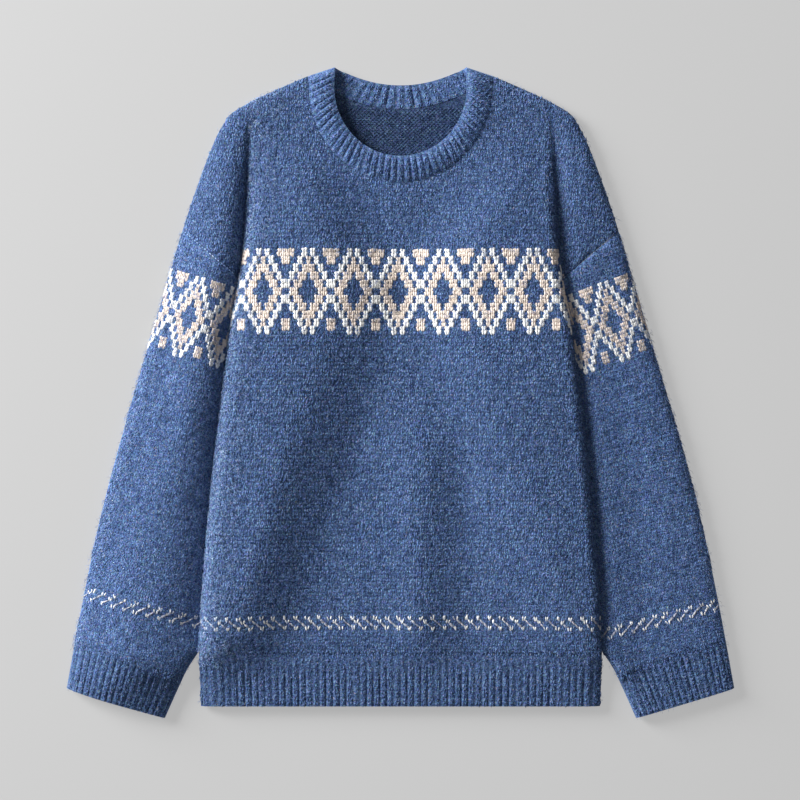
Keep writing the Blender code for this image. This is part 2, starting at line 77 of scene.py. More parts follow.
# %% Gauge and driving sizes
MM = 0.001
HEM_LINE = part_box("hem_front")[0].y  # where up is 0
CLOTH = 3.5 * MM  # thickness of the knit
SEAM = 0.3 * MM  # gap between two pieces
LAID = 8.7 * MM  # two layers that lie on each other
MIDDLE = LAID / 2
ROLL = 12 * MM  # width of the rounded outside edges
LIP = 18 * MM  # width of the front's rounded side folds
HEM_RIB = 51 * MM
SLEEVE_LIFT = CLOTH + SEAM
SLEEVE_TOP = SLEEVE_LIFT + LAID
BODY_STITCH, BODY_COURSE = 4.1 * MM, 3.86 * MM
SLEEVE_STITCH, SLEEVE_COURSE = 3.5 * MM, 3.75 * MM
RIB_PITCH = 6.7 * MM

ARMPIT_UP = 0.428  # where a side fold meets the underarm
UNDERARM_X = 0.070  # how far in the underarm ends, hidden by the front
SHOULDER_SEAM = (0.2185, 0.476)  # the armhole seam's end on the outside edge
CREASE_TOP_UP = 0.585  # where the crease beside the body runs out
NECK_POINT = (0.066, 0.640)  # the neckband's highest point, on its free edge
NECK_SEAM_POINT = (0.093, 0.631)  # where its seam meets the shoulder
CUFF_RIB_OUTER_UP, CUFF_OUTER_UP = 0.0641, 0.018
CUFF_RIB_INNER_UP, CUFF_INNER_UP = 0.0310, -0.012
FRONT_NECK = {"half_width": 0.092, "depth": 0.095, "centre_up": 0.619}  # seam of the front neck
FREE_NECK = {"half_width": 0.066, "depth": 0.0685, "centre_up": 0.619}  # free edge of its band
BACK_NECK_UP = 0.598
BACK_FREE_UP = 0.622
print(f"hem line at y = {HEM_LINE:.3f}, gauge {100 * MM / BODY_STITCH:.0f} stitches to 100 mm")

# %% [markdown]
# ## The outline
# The edges are short tables of a few measured places, joined by smooth curves. The same tables shape
# the solids, so the cloth made here lies exactly on them. A table with a row for every few centimetres
# is easy to read and to change, which a long list of points isn't.

# %% Edge tables and curves
BODY_EDGE = (  # up, half width at the side folds
    (0.000, 0.2000),
    (0.055, 0.2010),
    (0.107, 0.1985),
    (0.207, 0.1905),
    (0.337, 0.1760),
    (0.397, 0.1680),
    (0.428, 0.1620),
    (0.457, 0.1575),
    (0.500, 0.1545),
    (0.557, 0.1520),
    (0.610, 0.1480),
)
SLEEVE_OUTER = (  # up, x of the outer edge from the cuff to the shoulder
    (0.018, 0.3345),
    (0.057, 0.3275),
    (0.097, 0.3200),
    (0.137, 0.3120),
    (0.177, 0.3035),
    (0.257, 0.2830),
    (0.337, 0.2595),
    (0.417, 0.2355),
    (0.476, 0.2185),
    (0.517, 0.2050),
    (0.557, 0.1900),
    (0.577, 0.1815),
    (0.589, 0.1745),
)
SLEEVE_INNER = (  # up, x of the sleeve's inner edge, mostly under the front
    (-0.012, 0.2360),
    (0.017, 0.2230),
    (0.037, 0.2135),
    (0.060, 0.1985),
    (0.085, 0.1850),
    (0.130, 0.1680),
    (0.230, 0.1350),
    (0.330, 0.1020),
    (0.428, 0.0700),
)
SHOULDER = (  # x, up of the shoulder line from the neckband out
    (0.066, 0.640),
    (0.093, 0.631),
    (0.121, 0.619),
    (0.147, 0.607),
    (0.158, 0.601),
    (0.168, 0.595),
    (0.1745, 0.589),
)


def smooth_curve(rows):
    """A smooth curve through a table's rows, which works on single numbers and on arrays."""
    xs, ys = np.array(rows, float).T
    slopes = np.gradient(ys, xs)

    def at(x):
        x = np.clip(x, xs[0], xs[-1])
        i = np.clip(np.searchsorted(xs, x, "right") - 1, 0, len(xs) - 2)
        span = xs[i + 1] - xs[i]
        t = (x - xs[i]) / span
        ends = (2 * t**3 - 3 * t**2 + 1) * ys[i] + (3 * t**2 - 2 * t**3) * ys[i + 1]
        bends = (t**3 - 2 * t**2 + t) * slopes[i] + (t**3 - t**2) * slopes[i + 1]
        return ends + bends * span

    return at


def broken_line(rows):
    """Straight stretches through a table's rows."""
    xs, ys = np.array(rows, float).T
    return lambda x: np.interp(x, xs, ys)


def ease(t):
    """0 below 0, 1 above 1, and smooth between."""
    t = np.clip(t, 0.0, 1.0)
    return t * t * (3 - 2 * t)


def mix(a, b, t):
    """From a, when t is 0, to b, when t is 1."""
    return a + (b - a) * t


body_edge = smooth_curve(BODY_EDGE)
sleeve_outer = smooth_curve(SLEEVE_OUTER)
sleeve_inner = smooth_curve(SLEEVE_INNER)
shoulder_up = broken_line(SHOULDER)
print(f"chest {2 * float(body_edge(0.4)):.3f} m wide between its side folds")

# %% The rolled outside edge
BELOW_SEAM = 0.03  # the edge is followed down to this far below the armhole seam
outline_ups = np.linspace(SLEEVE_OUTER[-1][0], SHOULDER_SEAM[1] - BELOW_SEAM, 14)[1:]
OUTLINE = np.array([*SHOULDER, *((float(sleeve_outer(up)), up) for up in outline_ups)])


def inside_outline(x, up):
    """How far plan points lie inside the shoulder's outside edge."""
    points = np.stack(np.broadcast_arrays(x, up), -1)[..., None, :]
    starts, runs = OUTLINE[:-1], np.diff(OUTLINE, axis=0)
    shares = ((points - starts) * runs).sum(-1) / (runs**2).sum(-1)
    nearest = starts + np.clip(shares, 0, 1)[..., None] * runs
    return np.linalg.norm(points - nearest, axis=-1).min(-1)


def rolled_over(inside):
    """Sine and cosine of a rounded edge's turn, for points this far inside the edge."""
    sine = np.clip(1 - inside / ROLL, 0, 1)
    return sine, np.sqrt(1 - sine**2)


print(f"the middle of the chest is {float(inside_outline(0, 0.5)):.3f} m inside the outside edge")

# %% [markdown]
# ## How the cloth lies
# A laid sweater is a landscape of soft heights. The front is higher where a sleeve is under it, drops
# softly to the middle, rolls down at the side folds, and thins to nothing at the outside edges. One
# height function for each layer, with the folds in a table, is easier to steer than a simulation here,
# because the photograph shows where each fold runs.

# %% Soft folds of the front
FOLDS = (  # x at the low end, up there, x at the high end, up there, half width, height, all in mm
    (-172, 80, -100, 290, 18, 0.6),
    (-84, 70, -32, 300, 24, -1.2),
    (14, 30, 18, 280, 24, 4.0),
    (72, 30, 62, 270, 22, -2.4),
    (100, 80, 60, 300, 42, 2.4),
    (-60, 440, -110, 560, 26, 1.0),
    (70, 430, 120, 560, 24, 1.0),
    (-20, 350, 20, 500, 40, 0.8),
    (110, 330, 60, 420, 30, -0.8),
)
CALM_UP = 0.080  # the ribbed hem holds the cloth flat, up to about here


def soft_folds(x, up, table=FOLDS):
    """Long shallow ridges and troughs that run into the cloth at both ends."""
    total = 0.0
    for x_low, up_low, x_high, up_high, half_width, height in table:
        share = (up / MM - up_low) / (up_high - up_low)
        line = mix(x_low, x_high, share)
        ends = ease((share + 0.25) * 2) * ease((1.25 - share) * 2)
        total = total + height * MM * np.exp(-(((x / MM - line) / half_width) ** 2)) * ends
    return total * ease(up / CALM_UP)


print(f"{len(FOLDS)} soft folds, the highest {max(row[-1] for row in FOLDS)} mm")

# %% Height of the chest over the sleeves
SIDE_RISE, RIGHT_SHARE = 10.6 * MM, 0.97  # rise over the sleeves, and the right one's share of it
DRAPE, DRAPE_IN = 80 * MM, 5 * MM  # length of its slope, and how far inside the sleeve that ends
HEM_FALL = 75 * MM  # the rise builds up over this length above the hem
SIDE_RIDGE = {-1: 2.6 * MM, 1: 1.3 * MM}  # a soft ridge inside each side fold
RIDGE_IN, RIDGE_HALF = 50 * MM, 36 * MM


def of_side(table, side):
    """A table's value for the left (-1) or the right (1), for numbers and arrays."""
    return np.where(np.asarray(side) < 0, table[-1], table[1])


def yoke_share(up):
    """Share of the way up the crease beside the body, 0 at the armpit."""
    return (up - ARMPIT_UP) / (CREASE_TOP_UP - ARMPIT_UP)


def front_height(x, up):
    """The front's upper face, without its rolled edges."""
    above, share = up > ARMPIT_UP, np.clip(yoke_share(up), 0, 1)
    reach = np.where(above, mix(UNDERARM_X, body_edge(up), share), sleeve_inner(up))
    fade = np.where(above, 1 - ease((share - 0.15) / 0.85), ease(up / HEM_FALL))
    side = ease((np.abs(x) - (reach - DRAPE_IN - DRAPE)) / DRAPE) * fade
    ridge = np.exp(-(((body_edge(up) - RIDGE_IN - np.abs(x)) / RIDGE_HALF) ** 2)) * fade
    rise = SIDE_RISE * side * of_side({-1: 1.0, 1: RIGHT_SHARE}, x)
    return LAID + rise + ridge * of_side(SIDE_RIDGE, x) + soft_folds(x, up)


print(f"front is {float(front_height(0.12, 0.2)) / MM:.1f} mm high over a sleeve")

# %% [markdown]
# ## Swell and valley of the sleeves
# A sleeve isn't flat either: it swells up between the body and its outer edge, and beside the body it is
# pressed down. The left sleeve lies fuller than the right one, with a wider valley. Both forms are
# formulas of the place between the body's edge and the sleeve's edge, so they follow the outline. The
# dropped shoulder of the front uses the same ones, so that nothing steps at the armhole seam.

# %% Swell, valley and bridge beside the body
LIFT_START, LIFT_SLOPE = 2 * MM, 13 * MM
VALLEY_DEPTH, RIGHT_VALLEY = 5.8 * MM, 19 * MM
left_valley = broken_line(((0.13, 0.070), (0.20, 0.052), (0.30, 0.034), (0.43, 0.030)))
SLEEVE_PUFF = {-1: 9.5 * MM, 1: 2.4 * MM}
LOW_SWELL = {-1: 0.42, 1: 0.0}  # a sleeve swells by this share more near its cuff
BRIDGE = {-1: 60 * MM, 1: 48 * MM}
PUFF_LEAN = {  # where the swell is highest: over 1 is nearer the outer edge
    -1: broken_line(((0.04, 1.10), (0.10, 1.00), (0.14, 0.90), (0.20, 0.80), (0.32, 0.65))),
    1: broken_line(((0.04, 1.00), (0.10, 1.30), (0.20, 1.48), (0.32, 1.35))),
}


def sleeve_lift(x, up):
    """How far the back panel holds a sleeve off the surface."""
    return SLEEVE_LIFT * ease((body_edge(up) + LIFT_START + LIFT_SLOPE - x) / LIFT_SLOPE)


def bridge(x, up, side):
    """Lift of the upper layer beside the body, which slopes more gently than the back's edge below."""
    slope = of_side(BRIDGE, side)
    return SLEEVE_LIFT * ease((body_edge(up) + LIFT_START + slope - x) / slope)


def valley(x, up, side):
    """How far the cloth is pressed down beside the front's side folds."""
    width = of_side({-1: left_valley(up), 1: RIGHT_VALLEY}, side)
    beside = np.clip(1 - (x - body_edge(up)) / width, 0, 1)
    ends = ease((1.15 - yoke_share(up)) * 1.6) * ease((up - 0.045) / 0.05)
    return VALLEY_DEPTH * beside**1.5 * ends


def puff(x, up, side):
    """How far the sleeve and the dropped shoulder swell up between the body and their outer edge."""
    inside, outside = np.maximum(body_edge(up), sleeve_inner(up)), sleeve_outer(up)
    share = np.clip((x - inside) / (outside - inside), 0, 1)
    lean = of_side({side: curve(up) for side, curve in PUFF_LEAN.items()}, side)
    fuller = 1 + of_side(LOW_SWELL, side) * (1 - ease((up - 0.06) / 0.14))
    swell = of_side(SLEEVE_PUFF, side) * fuller * np.sin(np.pi * share**lean)
    return swell * ease((0.615 - up) / 0.12) * ease((up + 0.03) / 0.07)


swells = [float(puff(0.25, 0.25, side)) / MM for side in (-1, 1)]
print(f"the left sleeve swells {swells[0]:.1f} mm, the right one {swells[1]:.1f} mm")

# %% [markdown]
# ## Side folds of the front
# At each side the front turns down and ends in a fold, which lies on the sleeve and on the dropped
# shoulder. The left fold is loose and the right one tight. Both are one power curve: a power of 2
# gives a quarter of an ellipse, and less gives a looser bend.

# %% The front's whole surface
FOOT = 6 * MM  # width of the small hollow beside a fold
RIGHT_LIP, TIGHTENS_OVER = 11 * MM, 0.06  # the right fold is tighter than LIP above the hem rib
LIP_BEND = {-1: 1.6, 1: 2.0}
LOW_UNTIL, LIFTED_FROM = 0.028, 0.052  # between these heights the folds climb onto the sleeves
STANDS_OFF = 0.5 * MM  # a fold stands off the sleeve by this much
side_rim = broken_line(
    (
        (0.000, MIDDLE + 0.15 * MM),
        (LOW_UNTIL, MIDDLE + 0.40 * MM),
        (LIFTED_FROM, SLEEVE_TOP - SEAM),
        (0.062, SLEEVE_TOP + STANDS_OFF),
    )
)


def cap_height(x, up, side):
    """The front over the dropped shoulder, sunken beside the side fold."""
    lift = bridge(x, up, side) * (1 - ease(yoke_share(up)))
    return LAID + lift - valley(x, up, side) + puff(x, up, side)


def fold_foot(up, side):
    """Height at which the front's side fold ends."""
    edge = body_edge(up)
    above = cap_height(edge, up, side) + STANDS_OFF * (1 - ease(yoke_share(up)))
    return np.where(up > ARMPIT_UP, above, side_rim(up) - valley(edge, up, side))


def front_surface(x, up):
    """The front's upper face at any plan point, with its side folds and rolled outside edges."""
    away, edge, side = np.abs(x), body_edge(up), np.sign(x)
    tight = mix(LIP, RIGHT_LIP, ease((up - HEM_RIB) / TIGHTENS_OVER))
    lip_width = of_side({-1: LIP, 1: tight}, x)
    start, foot = edge - lip_width, fold_foot(up, side)
    turn, bend = np.clip((away - start) / lip_width, 0, 1), of_side(LIP_BEND, x)
    lip = foot + (front_height(side * start, up) - foot) * (1 - turn**bend) ** (1 / bend)
    cap = cap_height(away, up, side)
    cap = cap + (foot - cap) * np.clip(1 - (away - edge) / FOOT, 0, 1) ** 2
    z = np.where(away < start, front_height(x, up), np.where(away < edge, lip, cap))
    thin = MIDDLE + SEAM / 2  # height of the seam between front and back
    rolled = thin + (z - thin) * rolled_over(inside_outline(away, up))[1]
    return np.where(up > ARMPIT_UP, rolled, z)


heights = [float(front_surface(side * 0.14, 0.3)) / MM for side in (-1, 1)]
print(f"near its folds the front is {heights[0]:.1f} mm high at the left, {heights[1]:.1f} at the right")

# %% [markdown]
# ## Camera, light and floor
# The garment is seen from straight above, with a long lens so that nothing looks bent. A cut-out photo
# of a flat garment has very soft light with one stronger side, here the left: it brightens the folds
# that face left and leaves thin dark lines on the right of each edge.

# %% Camera
PIXEL, PICTURE = 1 * MM, 800  # one pixel of the picture on the cloth, and how many it is across
LENS, SENSOR = 85.0, 36.0
VIEW_CENTRE = (-0.5 * MM, -7.5 * MM)
camera_data = bpy.data.cameras.new("camera")
camera_data.lens, camera_data.sensor_width = LENS, SENSOR
camera_data.clip_start, camera_data.clip_end = 0.05, 20
camera = bpy.data.objects.new("camera", camera_data)
camera.location = (*VIEW_CENTRE, PICTURE * PIXEL * LENS / SENSOR + LAID)
bpy.context.scene.collection.objects.link(camera)
bpy.context.scene.camera = camera
print(f"camera {camera.location.z:.2f} m above the floor")

# %% Lights
KEY_POWER, FILL_POWER, SKY = 292, 3, 0.15


def add_light(name, place, size, power):
    """A square soft light that looks at the middle of the sweater."""
    data = bpy.data.lights.new(name, "AREA")
    data.energy, data.size = power, size
    light = bpy.data.objects.new(name, data)
    light.location = place
    light.rotation_euler = (-light.location).to_track_quat("-Z", "Y").to_euler()
    bpy.context.scene.collection.objects.link(light)


def set_sockets(node, sockets):
    """Sets constant values on a node's inputs."""
    for name, value in sockets.items():
        node.inputs[name].default_value = value


add_light("key_light", (-2.9, 1.5, 1.15), 1.5, KEY_POWER)
add_light("top_light", (0.9, 0.9, 2.6), 1.6, FILL_POWER)
world = bpy.data.worlds.new("studio")
world.use_nodes = True
set_sockets(world.node_tree.nodes["Background"], {"Color": (1, 1, 1, 1), "Strength": SKY})
bpy.context.scene.world = world
bpy.context.scene.view_settings.view_transform = "Standard"
print("lights:", ", ".join(light.name for light in bpy.data.lights))

# %% Floor
FLOOR_HALF, FLOOR_DROP = 3.0, 0.2 * MM
FLOOR_GREY, FLOOR_GLOW = 0.20, 0.41  # it glows a little, like a light table, for soft shadows
floor_mesh = bpy.data.meshes.new("floor")
ways = ((-1, -1), (1, -1), (1, 1), (-1, 1))
corners = [(x * FLOOR_HALF, y * FLOOR_HALF, -FLOOR_DROP) for x, y in ways]
floor_mesh.from_pydata(corners, [], [(0, 1, 2, 3)])
floor = bpy.data.objects.new("floor", floor_mesh)
bpy.context.scene.collection.objects.link(floor)
floor_paint = bpy.data.materials.new("floor_paint")
floor_paint.use_nodes = True
set_sockets(
    floor_paint.node_tree.nodes["Principled BSDF"],
    {
        "Base Color": (FLOOR_GREY, FLOOR_GREY, FLOOR_GREY, 1),
        "Emission Color": (1, 1, 1, 1),
        "Emission Strength": FLOOR_GLOW,
        "Roughness": 0.9,
    },
)
floor_mesh.materials.append(floor_paint)
print(f"floor {2 * FLOOR_HALF:.0f} m wide")

# %% [markdown]
# ## Yarn
# Heathered yarn is spun from fibres of several blues, so no two millimetres have the same colour. The
# material mixes a dark, a middle and a light blue by two noises, one as coarse as a stitch and one as
# fine as a fibre, with a few pale and warm specks. Brushed wool scatters light at grazing angles, which
# the sheen of the Principled shader gives.

# %% Yarn materials
BLUES = ((0.012, 0.030, 0.088, 1), (0.060, 0.122, 0.300, 1), (0.270, 0.410, 0.690, 1))
WHITES = ((0.90, 0.89, 0.86, 1), (0.97, 0.97, 0.95, 1), (0.99, 0.99, 0.98, 1))
PEACHES = ((0.66, 0.55, 0.48, 1), (0.85, 0.73, 0.64, 1), (0.96, 0.88, 0.82, 1))
MISTS = ((0.26, 0.31, 0.44, 1), (0.50, 0.51, 0.58, 1), (0.86, 0.80, 0.76, 1))
# pale blue tones for fibres on edges that face the key light: a painted highlight
HIGHLIGHT_BLUES = ((0.06, 0.11, 0.27, 1), (0.25, 0.41, 0.80, 1), (0.68, 0.86, 1.00, 1))
SPECK = (0.42, 0.40, 0.42, 1)
TONES_AT = (0.38, 0.49, 0.63)  # where the three tones lie on the blended noise
FINE_SHARE = 0.72  # of the fine noise in that blend


def add_node(tree, kind, inputs, **settings):
    """A shader node. Each of its inputs is a constant or the output of another node."""
    node = tree.nodes.new(kind)
    for name, value in settings.items():
        setattr(node, name, value)
    for name, value in inputs.items():
        if isinstance(value, bpy.types.NodeSocket):
            tree.links.new(value, node.inputs[name])
        else:
            node.inputs[name].default_value = value
    return node


def yarn(name, tones, speck_share=0.0, sheen=0.45, grain=1.0, hue_share=0.55):
    """A heathered yarn of three tones, with a share of pale specks and of strands of other hues."""
    material = bpy.data.materials.new(name)
    material.use_nodes = True
    tree = material.node_tree
    place = add_node(tree, "ShaderNodeTexCoord", {}).outputs["Object"]

    def noise(scale, detail, roughness=0.5):
        sockets = {"Vector": place, "Scale": scale, "Detail": detail, "Roughness": roughness}
        return add_node(tree, "ShaderNodeTexNoise", sockets).outputs

    def over(under, upper, share, way="MIX"):
        sockets = {"Factor": share, 6: under, 7: upper}  # 6 and 7 are the two colours
        return add_node(tree, "ShaderNodeMix", sockets, data_type="RGBA", blend_type=way).outputs[2]

    coarse, fine = noise(210.0 * grain, 3.0, 0.7)["Fac"], noise(820.0 * grain, 3.0, 0.75)["Fac"]
    fine_part = add_node(tree, "ShaderNodeMath", {0: fine, 1: FINE_SHARE}, operation="MULTIPLY")
    sockets = {0: coarse, 1: 1 - FINE_SHARE, 2: fine_part.outputs[0]}  # coarse share plus fine part
    blend = add_node(tree, "ShaderNodeMath", sockets, operation="MULTIPLY_ADD")
    ramp = add_node(tree, "ShaderNodeValToRGB", {"Fac": blend.outputs[0]})
    stops = ramp.color_ramp.elements
    stops.new(TONES_AT[1])
    for stop, position, tone in zip(stops, TONES_AT, tones):
        stop.position, stop.color = position, tone
    colour = ramp.outputs["Color"]
    if speck_share:
        start, end = (at - 0.5 * speck_share for at in (0.72, 0.80))
        sockets = {"Value": noise(520.0, 1.0)["Fac"], "From Min": start, "From Max": end, "To Max": 0.55}
        chosen = add_node(tree, "ShaderNodeMapRange", sockets).outputs["Result"]
        colour = over(colour, SPECK, chosen)
    colour = over(colour, noise(640.0 * grain, 1.0)["Color"], hue_share, "OVERLAY")
    bump = add_node(tree, "ShaderNodeBump", {"Strength": 0.5, "Distance": 0.6 * MM, "Height": fine})
    shader = tree.nodes["Principled BSDF"]
    set_sockets(shader, {"Roughness": 0.92, "Specular IOR Level": 0.2, "Sheen Roughness": 0.5})
    set_sockets(shader, {"Sheen Weight": sheen, "Sheen Tint": tones[2]})
    tree.links.new(colour, shader.inputs["Base Color"])
    tree.links.new(bump.outputs["Normal"], shader.inputs["Normal"])
    return material


def darker(tones, share):
    """The same tones, each at this share of its brightness."""
    return tuple((*(c * share for c in tone[:3]), 1) for tone in tones)


BLUE_YARN = yarn("blue_yarn", BLUES, speck_share=0.16)
# the rib yarns are the same blue made darker as painted shade: the hem and cuffs most, the neckband less
RIB_SHADE_YARN = yarn("rib_shade_yarn", darker(BLUES, 0.74), speck_share=0.10)
BAND_SHADE_YARN = yarn("band_shade_yarn", darker(BLUES, 0.88), speck_share=0.10)
# the ground yarn is the blue made darker and without sheen: painted shade in the gaps between the front's
# stitches and on the right armhole seam
GROUND_SHADE_YARN = yarn("ground_shade_yarn", darker(BLUES, 0.62), sheen=0.0)
# the inside yarn is the blue at under half its brightness: painted shade for the inside faces and the
# inside of the neck
INSIDE_SHADE_YARN = yarn("inside_shade_yarn", darker(BLUES, 0.47), sheen=0.0)
WHITE_YARN = yarn("white_yarn", WHITES, sheen=0.1, hue_share=0.1)
PEACH_YARN = yarn("peach_yarn", PEACHES, sheen=0.1, hue_share=0.2)
MIST_YARN = yarn("mist_yarn", MISTS, sheen=0.1, hue_share=0.2)
PALE_FIBRE = yarn("pale_fibre", darker(BLUES, 1.6), speck_share=0.20, sheen=0.4, grain=0.6)
HIGHLIGHT_FIBRE = yarn("highlight_fibre", HIGHLIGHT_BLUES, sheen=0.4, grain=0.6)
DARK_FIBRE = yarn("dark_fibre", darker(BLUES, 0.4), sheen=0.1, grain=0.6)
print("yarns:", ", ".join(m.name for m in bpy.data.materials if m.name.endswith("yarn")))

# %% [markdown]
# ## From a grid of points to cloth
# A knitted panel is a grid by nature, rows of stitches in columns. So every sheet here is made from a
# grid of points, and a Solidify modifier gives it its thickness afterwards.

# %% Grid to mesh
def placed(x, up, z):
    """Points in the part's own frame, from plan places and heights."""
    return np.stack(np.broadcast_arrays(x, up + HEM_LINE, z), -1)


def add_piece(name, points, faces, material, slot_name, *nodes):
    """Puts a smooth mesh in the scene, as a piece that rides with the sweater."""
    faces = np.asarray(faces, np.int32)
    count, corners = faces.shape
    mesh = bpy.data.meshes.new(name)
    mesh.vertices.add(len(points))
    mesh.vertices.foreach_set("co", np.asarray(points, np.float32).ravel())
    mesh.loops.add(faces.size)
    mesh.loops.foreach_set("vertex_index", faces.ravel())
    mesh.polygons.add(count)
    mesh.polygons.foreach_set("loop_start", np.arange(count, dtype=np.int32) * corners)
    mesh.polygons.foreach_set("loop_total", np.full(count, corners, np.int32))
    mesh.update(calc_edges=True)
    mesh.polygons.foreach_set("use_smooth", np.full(count, True))
    mesh.materials.append(material)
    piece = bpy.data.objects.new(name, mesh)
    bpy.context.scene.collection.objects.link(piece)
    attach(piece, "root")
    if nodes:
        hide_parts(*nodes)
    return piece


def grid_faces(rows, columns, keep=None, closed=False):
    """The four-sided cells of a grid of rows by columns, all of them or those marked in keep."""
    row, column = np.mgrid[0 : rows - 1, 0 : columns if closed else columns - 1]
    after = (column + 1) % columns
    below, above = row * columns, (row + 1) * columns
    cells = np.stack([below + column, below + after, above + after, above + column], -1)
    return cells[keep] if keep is not None else cells.reshape(-1, 4)


def thicken(piece, thickness):
    """Gives a sheet its thickness, inwards. Its inner face and rim show the inside yarn, darkened as
    painted shade.
    """
    piece.data.materials.append(INSIDE_SHADE_YARN)
    solid = piece.modifiers.new("thickness", "SOLIDIFY")
    solid.thickness, solid.offset = thickness, -1.0
    solid.material_offset = 1
    return piece

# %% [markdown]
# ## Front and back panels
# The front is one piece of knitting from the hem rib to the shoulders. Up to the armpit its rows run
# between the two side folds. Above it they run on over the dropped shoulder to the outside edge. The
# columns of the grid follow the folds and then fan out to the neck and the shoulder line, so that no
# edge is jagged.

# %% Columns of a panel
PLATEAU, LIP_STEPS, FOOT_STEPS, CAP_STEPS, ROLL_STEPS = 38, 7, 3, 9, 6  # from the middle out
FOLD_COLUMN = PLATEAU + LIP_STEPS
CAP_START = FOLD_COLUMN + FOOT_STEPS
EDGE_START = CAP_START + CAP_STEPS
LAST_COLUMN = EDGE_START + ROLL_STEPS


def quarter_turn(steps):
    """Sines of even steps round a rounded edge, without the start."""
    return np.sin(np.linspace(0, math.pi / 2, steps + 1)[1:])


LIP_SINES, ROLL_SINES = quarter_turn(LIP_STEPS), quarter_turn(ROLL_STEPS)


def column_x(column, up):
    """Where a column of a panel runs at this height, before the neck draws it in."""
    edge, outside = body_edge(up), sleeve_outer(up)
    roll_start = np.maximum(outside - ROLL, edge + FOOT + 4 * MM)
    if column <= PLATEAU:
        return (edge - LIP) * column / PLATEAU
    if column <= FOLD_COLUMN:
        return edge - LIP + LIP * LIP_SINES[column - PLATEAU - 1]
    if column <= CAP_START:
        return edge + FOOT * (column - FOLD_COLUMN) / FOOT_STEPS
    if column <= EDGE_START:
        return mix(edge + FOOT, roll_start, (column - CAP_START) / CAP_STEPS)
    return mix(roll_start, outside, ROLL_SINES[column - EDGE_START - 1])


print(f"{2 * LAST_COLUMN + 1} columns across a panel")

# %% Neck curves
def lengths_along(path):
    """Length along a path up to each of its points."""
    return np.concatenate([[0], np.cumsum(np.linalg.norm(np.diff(path, axis=0), axis=1))])


def points_along(path, lengths, at):
    """The points of a path at these lengths along it."""
    return np.stack([np.interp(at, lengths, line) for line in path.T], -1)


def evenly(path, count):
    """A path's points at even distances along it."""
    lengths = lengths_along(path)
    return points_along(path, lengths, np.linspace(0, lengths[-1], count + 1))


def front_scoop(neck, end, count):
    """Half an ellipse's lower part and then straight up to the shoulder."""
    turn = np.linspace(0, math.pi / 2, 200)
    x, up = neck["half_width"] * np.sin(turn), neck["centre_up"] - neck["depth"] * np.cos(turn)
    return evenly(np.vstack([np.stack([x, up], 1), [end]]), count)


def back_scoop(lowest, end, count):
    """A shallow curve from its lowest point at the middle up to the shoulder."""
    share = np.linspace(0, 1, 100)
    return evenly(np.stack([end[0] * share, mix(lowest, end[1], share**2)], 1), count)


NECK_COLUMNS = 30
NECK_PATHS = {
    "front": front_scoop(FRONT_NECK, NECK_SEAM_POINT, NECK_COLUMNS),
    "back": back_scoop(BACK_NECK_UP, NECK_SEAM_POINT, NECK_COLUMNS),
}
print(f"front neck {FRONT_NECK['depth'] / MM:.0f} mm deep at its seam")

# %% Rows of a panel
BODY_ROWS, YOKE_ROWS = {"front": 64, "back": 32}, {"front": 36, "back": 20}
SHOULDER_SLOPE = 0.109 / 0.260  # fall over run, for the height that a rolled edge takes there


def seam_up(x):
    """The armhole seam, straight from the armpit to the outer edge."""
    armpit_x = body_edge(ARMPIT_UP)
    share = np.clip((x - armpit_x) / (SHOULDER_SEAM[0] - armpit_x), 0, 1)
    return mix(ARMPIT_UP, SHOULDER_SEAM[1], share)


def crossing(column, line_up, up):
    """Height at which a column crosses a line, from a first guess that twelve rounds make exact."""
    for _ in range(12):
        up = float(line_up(column_x(column, up)))
    return up


def top_of(column, panel):
    """Where a column ends, on the neck seam or on the shoulder."""
    if column <= NECK_COLUMNS:
        return NECK_PATHS[panel][column]
    if column <= PLATEAU:
        share = (column - NECK_COLUMNS) / (PLATEAU - NECK_COLUMNS)
        x = mix(NECK_SEAM_POINT[0], BODY_EDGE[-1][1] - LIP, share)
        return x, float(shoulder_up(x))
    up = crossing(column, shoulder_up, SHOULDER_SEAM[1])
    return float(column_x(column, up)), up


def panel_plan(panel):
    """Plan places of a panel's grid on the +X side, as two arrays with gaps outside the panel."""
    body_rows, yoke_rows = BODY_ROWS[panel], YOKE_ROWS[panel]
    xs, ups = np.full((2, body_rows + yoke_rows + ROLL_STEPS + 1, LAST_COLUMN + 1), np.nan)
    body_ups = np.linspace(HEM_RIB + SEAM, ARMPIT_UP, body_rows + 1)
    closing = ROLL * math.hypot(1, SHOULDER_SLOPE)
    for column in range(LAST_COLUMN + 1):
        bottom = ARMPIT_UP
        if column <= FOLD_COLUMN:
            xs[: body_rows + 1, column] = column_x(column, body_ups)
            ups[: body_rows + 1, column] = body_ups
        else:
            bottom = crossing(column, seam_up, ARMPIT_UP)
        top_x, top_up = top_of(column, panel)
        even = np.linspace(bottom, top_up - closing, yoke_rows + 1)
        up = np.concatenate([even, top_up - closing * (1 - ROLL_SINES)])
        share = (up - bottom) / (top_up - bottom)
        drawn = ease(share) if column <= FOLD_COLUMN else share**20
        xs[body_rows:, column] = mix(column_x(column, up), top_x, drawn)
        ups[body_rows:, column] = up
    return xs, ups


print(f"the armhole seam rises {(SHOULDER_SEAM[1] - ARMPIT_UP) / MM:.0f} mm")

# %% Make the panels
SHELL = 1.6 * MM  # the front sheet is this thick, and its stitches stand on it
BACK_SHELL = 3.1 * MM
BACK_FOLDS = (  # as in FOLDS, troughs in the under face
    (-120, 100, -60, 330, 14, 1.0),
    (-20, 90, -34, 260, 11, 0.8),
    (58, 80, 30, 300, 13, 0.9),
    (140, 120, 96, 340, 12, 0.8),
    (-90, 380, -120, 520, 12, 0.7),
    (84, 400, 118, 540, 12, 0.7),
)
DEEPEST = 1.2 * MM
back_rim = broken_line(((0, MIDDLE - 0.15 * MM), (LOW_UNTIL, MIDDLE - 0.3 * MM), (LIFTED_FROM, 0)))


